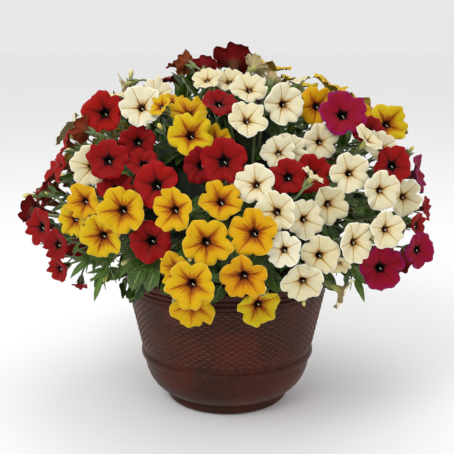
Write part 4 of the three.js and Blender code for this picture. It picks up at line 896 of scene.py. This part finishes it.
def stem_material():
    """Young green stems and sepals, with fine hairs that show as a pale sheen and slight streaks."""
    material, tree, shader = finish_of("green_stems", 0.62, Sheen_Weight=0.3, Sheen_Roughness=0.5)
    place = place_of(tree)
    tones = ramp_of(tree, noise_of(tree, place, 38.0, 2.0), 0.35, 0.65)
    fine = noise_of(tree, place, 600.0, 2.0)
    green = blend_of(tree, tones, colour(58, 84, 34), colour(104, 124, 58))
    painted(tree, shader, blend_of(tree, fine, green, colour(150, 158, 104), 0.35), fine, 0.3, 0.0004)
    return material


stems = stem_material()
plant_turns = -math.pi / 2 + (np.arange(PLANTS) + 0.5) * 2 * math.pi / PLANTS
crowns = np.stack([CROWN_CIRCLE * np.cos(plant_turns), CROWN_CIRCLE * np.sin(plant_turns),
                   np.full(PLANTS, CROWN_TOP)], axis=1)


def plant_of(points):
    """The plant whose wedge of the mound each point lies in."""
    turn = np.arctan2(points[..., 1], points[..., 0])
    off = np.abs((turn[..., None] - plant_turns + math.pi) % (2 * math.pi) - math.pi)
    return np.argmin(off, axis=-1)


for spray in spray_names:
    own = blooms_of[spray]
    axes = np.array([bloom["axis"] for bloom in own])
    calyx_places = np.array([bloom["calyx"] for bloom in own])
    direction = calyx_places.mean(axis=0) - MOUND_CENTRE
    stand, fork = mound_point(direction, STALK_FOOT), mound_point(direction, STALK_FORK)
    crown = crowns[plant_of(fork)]
    swell = 0.35 * crown + 0.65 * stand + STALK_RISE * UPRIGHT
    stalk = tubes(arcs(crown[None], swell[None], fork[None], np.linspace(0, 1, 12)), STALK_RADII, 6)
    feet = calyx_places - PEDICEL_SEAT * axes
    end = fork + PEDICEL_START * (stand - fork)
    spans = np.linalg.norm(feet - end, axis=1)[:, None]
    ways = arcs(np.repeat(end[None], len(own), 0), feet - 0.45 * spans * axes, feet, np.linspace(0, 1, 9))
    shown(f"stalks_{spray}", [stalk, tubes(ways, PEDICEL_RADII, 6), calyxes(own)], stems,
          crease=60)


# Inside each throat a green-white stigma and a pale anther beside it stand on a hidden style. They
# are moist little beads that grow as part of the flower.
BEAD_RADIUS = 0.0008
BEAD_HEIGHT = 0.8  # against the radius
BEAD_LEVELS = np.array([-0.85, -0.4, 0.2, 0.75])[:, None]
BEAD_PLACES = [(0.03, -0.03, -0.34), (0.075, -0.08, -0.37)]  # aside, up and out, in the bloom's radii

beads = []
for bloom in blooms:
    axis = bloom["axis"]
    u, v = frame_of(axis)
    for aside, up, out in BEAD_PLACES:
        centre = bloom["place"] + bloom["radius"] * (aside * u + up * v + out * axis)
        beads.append(rings_about(centre, axis, even_turns(8), BEAD_RADIUS * np.sqrt(1 - BEAD_LEVELS**2),
                                 BEAD_HEIGHT * BEAD_RADIUS * BEAD_LEVELS))
bead_material, bead_tree, bead_shader = finish_of("stigmas_and_anthers", 0.45)
bead_cloud = noise_of(bead_tree, place_of(bead_tree), 300.0)
painted(bead_tree, bead_shader, blend_of(bead_tree, bead_cloud, colour(170, 168, 130), colour(232, 228, 210)))
shown("stigmas_and_anthers", [np.array(beads)], bead_material)


# The plants: five bushy petunias. Leafy side shoots fill the mound between the sprays, with ovate
# leaves in a spiral round each stem, folded a little along the midrib. A dense tangle lies inside.
SHOOTS = 210
SHOOT_HEIGHTS = (0.99, -0.5)
SHOOT_LEAVES = 8
SHOOT_STEPS = 8
SHOOT_SHARES = (0.40, 0.80, 0.96)  # of the mound: the foot, and the least and most for the tip
SHOOT_LEAN = 0.17
SHOOT_SWERVE = 0.008
SHOOT_RISE = 0.010
SHOOT_RADII = (0.0020, 0.0009)
TRUNK_RADII = (0.0075, 0.0055)
LEAF_FROM = 0.36  # where along a shoot its lowest leaf stands
LEAF_LENGTHS = (0.027, 0.046)
LEAF_WIDTHS = (0.20, 0.32)  # half the width against the length
LEAF_STATIONS = np.array([0.0, 0.10, 0.21, 0.36, 0.53, 0.70, 0.87, 1.0])
LEAF_TURN = 2.4  # from one leaf to the next round the stem
LEAF_TILTS = (1.15, 0.40)  # from the stem's way, of the lowest and of the uppermost leaf
LEAF_PETIOLE = 0.0007
LEAF_SECTION = np.array([(1, 0), (0.5, 1), (0, 1), (-0.5, 1), (-1, 0), (-0.5, -1), (0, -1), (0.5, -1)])
LEAF_THICKNESS = 0.0004
LEAF_CLEAR = 0.0015
POT_CLEAR = 0.0035
RIM_TOP = 0.190
RIM_RADIUS = 0.1425


def leaf_rings(leaves):
    """Rings of leaves from arrays of their root, direction, upper side, length, half width, fold, droop
    and wave. The half width follows a skewed sine of the place along the blade, after a thin petiole,
    the edges are raised by the fold, and the blade droops by the square of the place along it."""
    root, along, upper, length, half, fold, droop, wave = leaves
    beside = np.cross(upper, along)
    s = LEAF_STATIONS
    blade = np.clip((s - 0.10) / 0.90, 0, 1)
    outline = np.sin(math.pi * blade**0.72) ** 0.85
    width = np.maximum(half[:, None] * outline, LEAF_PETIOLE * (1 - 0.7 * s))[..., None]
    w, h = LEAF_SECTION.T
    thick = np.where(s < 0.15, LEAF_PETIOLE, LEAF_THICKNESS)[:, None]
    offset = width * w
    raised = (h * thick + fold[:, None, None] * np.abs(offset) - droop[:, None, None] * length[:, None, None]
              * (s**2)[:, None] + wave[:, None, None] * np.abs(w) * width
              * np.sin(2 * math.pi * (1.6 * s[:, None] + 0.25 * w + 3 * wave[:, None, None])))
    centre = root[:, None] + (length[:, None] * s)[..., None] * along[:, None]
    return (centre[:, :, None] + offset[..., None] * beside[:, None, None]
            + raised[..., None] * upper[:, None, None])


def leaf_samples(leaves):
    """Points of leaf blades, where their clearance is tested."""
    root, along, upper, length, half = leaves[:5]
    shares = np.array([(0.2, 0), (0.4, -0.8), (0.4, 0), (0.4, 0.8),
                       (0.65, -0.8), (0.65, 0), (0.65, 0.8), (1, 0)])
    return (root[:, None] + (length[:, None] * shares[:, 0])[..., None] * along[:, None]
            + (half[:, None] * shares[:, 1])[..., None] * np.cross(upper, along)[:, None])


def meets_a_bloom(points, margin):
    """Whether any of each leaf's points lies in a bloom's limb, in its cup or just before its face, or
    in its tube."""
    met = np.zeros(len(points), bool)
    for bloom in blooms:
        height, share = seen_from(bloom, points)
        before = (share < 0.95) & (height > -face_depth(bloom, share) - margin) & (height < bloom["radius"])
        limb = (share < 1.08) & (abs(height + back_depth(bloom, share) / 2)
                                 < back_depth(bloom, share) / 2 + margin)
        tube = (share < 0.3) & (height < 0) & (height > -(FUNNEL_SHARE + TUBE_SHARE) * bloom["radius"])
        met |= (before | limb | tube).any(axis=1)
    return met


def meets_the_pot(points):
    """Whether any of each leaf's points lies within the rim's circle and lower than just over the rim."""
    beyond = np.hypot(points[..., 0], points[..., 1])
    low = points[..., 2] < RIM_TOP + POT_CLEAR
    return (low & (beyond < RIM_RADIUS + POT_CLEAR)).any(axis=1)


def leaf_material():
    """A soft dark green blade with a paler midrib and arched side veins, a little glossy and finely
    puckered. It reads where a point lies on its leaf, and the leaf's own tone."""
    material, tree, shader = finish_of("leaf_blades", 0.5, Specular_IOR_Level=0.3)
    across, along, tone = parts_of(tree, field_of(tree, "leaf_place"))
    aside = math_of(tree, "ABSOLUTE", across)
    mottle = noise_of(tree, place_of(tree), 220.0, 3.0)
    base = blend_of(tree, tone, colour(22, 47, 12), colour(72, 104, 28))
    base = blend_of(tree, ramp_of(tree, mottle, 0.4, 0.75), base, colour(96, 124, 38), 0.4)
    rib = ramp_of(tree, aside, 0.11, 0.03)
    slant = math_of(tree, "MULTIPLY_ADD", aside, -0.22, along)
    sawtooth = math_of(tree, "FRACT", math_of(tree, "MULTIPLY", slant, 9.0))
    saw = math_of(tree, "ABSOLUTE", math_of(tree, "SUBTRACT", sawtooth, 0.5))
    side_veins = ramp_of(tree, saw, 0.10, 0.02)
    lines = math_of(tree, "MAXIMUM", rib, math_of(tree, "MULTIPLY", side_veins, 0.5))
    relief = math_of(tree, "MULTIPLY_ADD", lines, -0.7, mottle)
    painted(tree, shader, blend_of(tree, lines, base, colour(140, 156, 92), 0.55), relief, 0.45, 0.0008)
    return material


blades = leaf_material()


def shown_leaves(name, leaves, tones, replaced=()):
    """A piece of leaves, with a field of the place across and along each leaf and of its tone."""
    rings = leaf_rings(leaves)
    places = [np.broadcast_to(values, rings.shape[:3])
              for values in (LEAF_SECTION[:, 0], LEAF_STATIONS[:, None], tones[:, None, None])]
    shown(name, [rings], blades, replaced, {"leaf_place": np.stack(places, axis=-1)}, crease=75)


leaf_draw = np.random.default_rng(21)
shoot_ways = spiral(SHOOTS, SHOOT_HEIGHTS)
shoot_ways = unit(shoot_ways + 0.05 * leaf_draw.normal(size=shoot_ways.shape))
shoot_feet = mound_point(shoot_ways, SHOOT_SHARES[0])
tip_shares = leaf_draw.uniform(SHOOT_SHARES[1], SHOOT_SHARES[2], SHOOTS)
shoot_leans = SHOOT_LEAN * leaf_draw.normal(size=shoot_ways.shape)
shoot_tips = mound_point(unit(shoot_ways + shoot_leans), tip_shares)
shoot_bends = (0.5 * (shoot_feet + shoot_tips) + SHOOT_SWERVE * leaf_draw.normal(size=(SHOOTS, 3))
               + SHOOT_RISE * UPRIGHT)
shoot_paths = arcs(shoot_feet, shoot_bends, shoot_tips, np.linspace(0, 1, SHOOT_STEPS))
shoot_clear = ~meets_a_bloom(shoot_paths[:, 4:], 0.0) & ~meets_the_pot(shoot_paths)
shoot_paths = shoot_paths[shoot_clear]

leaf_t = np.linspace(LEAF_FROM, 1.0, SHOOT_LEAVES)
leaf_tips = shoot_paths[:, -1]
shoot_curves = shoot_paths[:, 0], shoot_bends[shoot_clear], leaf_tips
leaf_roots = arcs(*shoot_curves, leaf_t)
stem_way = arc_ways(*shoot_curves, leaf_t)
shoot_count = len(shoot_paths)
first_turns = leaf_draw.uniform(0, 2 * math.pi, (shoot_count, 1))
leaf_turns = (np.arange(SHOOT_LEAVES) * LEAF_TURN + first_turns)[..., None]
side_u = unit(np.cross(stem_way, [0.3, 0.2, 0.93]))
side_v = np.cross(stem_way, side_u)
leaf_rise = (leaf_t[:, None] - LEAF_FROM) / (1 - LEAF_FROM)
leaf_tilt = LEAF_TILTS[0] + (LEAF_TILTS[1] - LEAF_TILTS[0]) * leaf_rise
tilts = leaf_tilt * leaf_draw.uniform(0.8, 1.15, leaf_turns.shape)
leaf_along = unit(np.cos(tilts) * stem_way + np.sin(tilts) * (np.cos(leaf_turns) * side_u
                                                            + np.sin(leaf_turns) * side_v))
leaf_out = unit(mound_normal(leaf_roots) + [0, 0, 0.5])
leaf_upper = unit(leaf_out - (leaf_out * leaf_along).sum(axis=-1, keepdims=True) * leaf_along)
leaf_length = leaf_draw.uniform(*LEAF_LENGTHS, leaf_turns.shape)[..., 0] * (1.08 - 0.35 * leaf_t)
leaf_half = leaf_length * leaf_draw.uniform(*LEAF_WIDTHS, leaf_length.shape)
plant_leaves = [leaf_roots.reshape(-1, 3), leaf_along.reshape(-1, 3), leaf_upper.reshape(-1, 3),
                leaf_length.ravel(), leaf_half.ravel(),
                leaf_draw.uniform(0.05, 0.35, leaf_length.size),
                leaf_draw.uniform(0.0, 0.22, leaf_length.size),
                leaf_draw.uniform(0.0, 0.22, leaf_length.size)]
leaf_tones = leaf_draw.uniform(0, 1, leaf_length.size)
samples = leaf_samples(plant_leaves)
kept = (~meets_a_bloom(samples, LEAF_CLEAR) & ~meets_the_pot(samples)
        & (mound_level(samples[:, -1]) < 1.0))
plant_leaves = [values[kept] for values in plant_leaves]
leaf_tones = leaf_tones[kept]
stem_plant = plant_of(shoot_paths[:, 0])
leaf_plant = plant_of(plant_leaves[0])
for plant, crown in enumerate(crowns):
    own = leaf_plant == plant
    shown_leaves(f"leaves_of_plant_{plant + 1}", [values[own] for values in plant_leaves], leaf_tones[own],
                 [f"plant_{plant + 1}"])
    trunk = arcs((crown - [0, 0, 0.06])[None], crown[None], (crown * [0.85, 0.85, 1] + [0, 0, 0.03])[None],
                 np.linspace(0, 1, 6))
    shown(f"stems_of_plant_{plant + 1}",
          [tubes(shoot_paths[stem_plant == plant], SHOOT_RADII, 6), tubes(trunk, TRUNK_RADII, 10)],
          stems, crease=60)


# Single leafy shoots that hang out of the mound's skirt over the pot, some narrow-leaved and some
# with broad leaves. Each arches out on its own stem and carries a leaf at its tip.
HANGING = [  # picture place of the tip, how far it hangs, leaf length, half width against it, tone
    ((78, 262), 0.010, 0.034, 0.14, 0.5), ((93, 280), 0.026, 0.034, 0.14, 1.0),
    ((135, 272), 0.014, 0.032, 0.34, 0.3), ((149, 275), 0.016, 0.029, 0.36, 0.35),
    ((233, 278), 0.012, 0.029, 0.25, 0.1), ((364, 281), 0.022, 0.034, 0.16, 0.7),
]
HANGING_SHARES = (0.58, 0.93)
HANGING_RADII = (0.0017, 0.0010)
HANGING_LEAVES = np.array([  # place along the stem, lean to its side, size
    (1.0, 0.0, 1.0), (0.86, 0.9, 0.8), (0.80, -0.9, 0.8), (0.70, 0.7, 0.7), (0.62, -0.7, 0.7),
    (0.90, 0.45, 0.75), (0.94, -0.4, 0.7),
])
HANGING_FORM = (0.2, 0.14, 0.12)  # fold, droop and wave of the leaves

hanging_paths, hanging_leaves = [], []
for tip_place, hang, length, half, tone in HANGING:
    direction = place_on_mound(*tip_place) - MOUND_CENTRE
    foot = mound_point(direction + hang * UPRIGHT, HANGING_SHARES[0])
    tip = mound_point(direction, HANGING_SHARES[1])
    curve = foot[None], (0.3 * foot + 0.7 * tip + hang * UPRIGHT)[None], tip[None]
    hanging_paths.append(arcs(*curve, np.linspace(0, 1, 10)))
    out = mound_normal(tip)
    stations, leans, sizes = HANGING_LEAVES.T
    ways = arc_ways(*curve, stations)[0]
    ways = unit(ways + leans[:, None] * unit(np.cross(ways, out)))
    uppers = unit(out - (ways @ out)[:, None] * ways)
    lengths = length * sizes
    forms = [np.full(len(sizes), value) for value in (*HANGING_FORM, tone)]
    hanging_leaves.append([arcs(*curve, stations)[0], ways, uppers, lengths, lengths * half, *forms])
hanging_leaves = [np.concatenate(values) for values in zip(*hanging_leaves)]
shown_leaves("hanging_leaves", hanging_leaves[:-1], hanging_leaves[-1])
shown("hanging_stems", [tubes(np.concatenate(hanging_paths), HANGING_RADII, 6)], stems, crease=60)


# Flower buds: pale twisted spindles with five folds, standing in their sepals at the tips of shoots.
# They are petals that are still rolled up, each on a short green stalk of its own.
BUD_COLUMNS = 20
BUD_OUTLINE = np.array([  # level and radius, against the bud's length
    (0.0, 0.035), (0.10, 0.075), (0.26, 0.085), (0.45, 0.10), (0.62, 0.135), (0.76, 0.145), (0.88, 0.11),
    (0.96, 0.055), (1.0, 0.012)])
BUD_TWIST = 1.5
BUDS_SEEN = [  # picture place, length, way to the right, up and towards the eye
    ((128.6, 74), 0.022, (0.1, 1.0, 0.1)), ((161, 128), 0.017, (-0.3, 0.5, 0.8)),
    ((413, 150), 0.016, (0.5, 0.7, 0.3)), ((303, 300), 0.015, (0.1, -0.9, 0.4)),
    ((264, 290), 0.014, (0.2, 0.6, 0.6)),
]
BUDS_FURTHER = 60
BUD_LENGTHS = (0.014, 0.024)
BUD_CLEAR = 0.003
BUD_STALK_RADII = (0.0009, 0.0012)

bud_draw = np.random.default_rng(5)
budding = bud_draw.permutation(shoot_count)[:BUDS_FURTHER]
seen_lengths = np.array([length for _, length, _ in BUDS_SEEN])
seen_axes = np.array([picture_way(*way) for _, _, way in BUDS_SEEN])
seen_feet = (np.array([place_on_mound(*place) for place, _, _ in BUDS_SEEN])
             - 0.5 * seen_lengths[:, None] * seen_axes)
bud_feet = np.concatenate([leaf_tips[budding], seen_feet])
bud_axes = np.concatenate([unit(stem_way[budding, -1] + 0.5 * mound_normal(leaf_tips[budding])), seen_axes])
bud_lengths = np.concatenate([bud_draw.uniform(*BUD_LENGTHS, len(budding)), seen_lengths])
bud_ends = np.stack([bud_feet, bud_feet + bud_lengths[:, None] * bud_axes], axis=1)
bud_clear = ~meets_a_bloom(bud_ends, BUD_CLEAR) & ~meets_the_pot(bud_ends)
bud_clear[-len(BUDS_SEEN):] = True
bud_feet, bud_axes, bud_lengths = bud_feet[bud_clear], bud_axes[bud_clear], bud_lengths[bud_clear]

# The outline has five folds, as a cosine round it, that twist up the bud.
bud_turns = even_turns(BUD_COLUMNS)
bud_level, bud_radius = BUD_OUTLINE[:, :1], BUD_OUTLINE[:, 1:]
bud_radius = bud_radius * (1 + 0.16 * np.cos(LOBES * (bud_turns + BUD_TWIST * bud_level)))
bud_skin = np.array([rings_about(foot, axis, bud_turns, length * bud_radius, length * bud_level)
                     for foot, axis, length in zip(bud_feet, bud_axes, bud_lengths)])
bud_levels = np.broadcast_to(bud_level, bud_skin.shape[:3])
bud_tones = np.broadcast_to(bud_draw.uniform(0, 1, len(bud_feet))[:, None, None], bud_skin.shape[:3])
bud_material, bud_tree, bud_shader = finish_of("flower_buds", 0.55, Sheen_Weight=0.1)
bud_height, bud_tone, _ = parts_of(bud_tree, field_of(bud_tree, "bud_place"))
bud_tip = blend_of(bud_tree, bud_tone, colour(226, 220, 160), colour(214, 196, 74))
bud_rise = ramp_of(bud_tree, bud_height, 0.2, 0.8)
painted(bud_tree, bud_shader, blend_of(bud_tree, bud_rise, colour(120, 138, 70), bud_tip))
shown("flower_buds", [bud_skin], bud_material, (),
      {"bud_place": np.stack([bud_levels, bud_tones, bud_tones], axis=-1)}, crease=60)
bud_cups = [{"axis": axis, "calyx": foot - PEDICEL_SEAT * axis} for foot, axis in zip(bud_feet, bud_axes)]
bud_stalks = arcs(bud_feet - 0.030 * mound_normal(bud_feet), bud_feet - 0.012 * bud_axes, bud_feet,
                  np.linspace(0, 1, 7))
shown("bud_stalks", [calyxes(bud_cups), tubes(bud_stalks, BUD_STALK_RADII, 6)], stems, crease=60)


# The tangle inside the mound: stems, shaded old leaves and feet of shoots, too dense to see through.
# It is one dark rough ball, whose near-black greens are painted shade of the mound's inside, and the
# shoots and the stalks grow out of it.
TANGLE_SHARE = 0.56
TANGLE_RELIEF = 0.06
TANGLE_ROWS = 60
TANGLE_COLUMNS = 110
tangle_heights = np.cos(np.linspace(math.pi, 0, TANGLE_ROWS + 2)[1:-1])[:, None]
tangle_ways = rings_about(0, UPRIGHT, even_turns(TANGLE_COLUMNS), np.sqrt(1 - tangle_heights**2),
                          tangle_heights)
tangle_rings = mound_point(tangle_ways, TANGLE_SHARE + TANGLE_RELIEF * rumpled(tangle_ways * 0.2, 9, 0.05))
tangle_material, tangle_tree, tangle_shader = finish_of("tangle", 0.8)
tangle_noise = noise_of(tangle_tree, place_of(tangle_tree), 70.0, 5.0, 0.7)
tangle_cloud = ramp_of(tangle_tree, tangle_noise, 0.35, 0.7)
# Near-black greens: painted shade of the mound's inside.
tangle_shade_paint = blend_of(tangle_tree, tangle_cloud, colour(12, 16, 8), colour(40, 56, 26))
painted(tangle_tree, tangle_shader, tangle_shade_paint, tangle_noise, 1.0, 0.006)
shown("tangle", [tangle_rings[None]], tangle_material)


# A plain pale floor and soft studio light from above, left and right.
floor_mesh = bpy.data.meshes.new("floor")
floor_mesh.from_pydata([(-6, -6, 0), (6, -6, 0), (6, 10, 0), (-6, 10, 0)], [], [(0, 1, 2, 3)])
floor_material, floor_tree, floor_shader = finish_of("floor", 0.9)
floor_shader.inputs["Base Color"].default_value = (0.97, 0.97, 0.97, 1)
floor_mesh.materials.append(floor_material)
floor = bpy.data.objects.new("floor", floor_mesh)
bpy.context.scene.collection.objects.link(floor)
floor.location = (0, 0, -0.0005)

LIGHTS = {  # place, size and power
    "key": ((-0.9, -1.7, 1.9), 0.9, 25.0),
    "fill": ((1.7, -1.2, 1.1), 1.4, 3.5),
    "top": ((0.2, 0.5, 2.4), 1.6, 8.0),
}
LIGHTS_AIM = (0, 0, 0.25)
for name, (place, size, power) in LIGHTS.items():
    light_data = bpy.data.lights.new(name, "AREA")
    light_data.size = size
    light_data.energy = power
    light = bpy.data.objects.new(name, light_data)
    bpy.context.scene.collection.objects.link(light)
    light.location = place
    light.rotation_euler = (Vector(LIGHTS_AIM) - Vector(place)).to_track_quat("-Z", "Y").to_euler()
world = bpy.data.worlds.new("studio")
world.use_nodes = True
sky = world.node_tree.nodes["Background"].inputs
sky["Color"].default_value = (1, 1, 1, 1)
sky["Strength"].default_value = 0.80
bpy.context.scene.world = world
bpy.context.scene.view_settings.view_transform = "Standard"
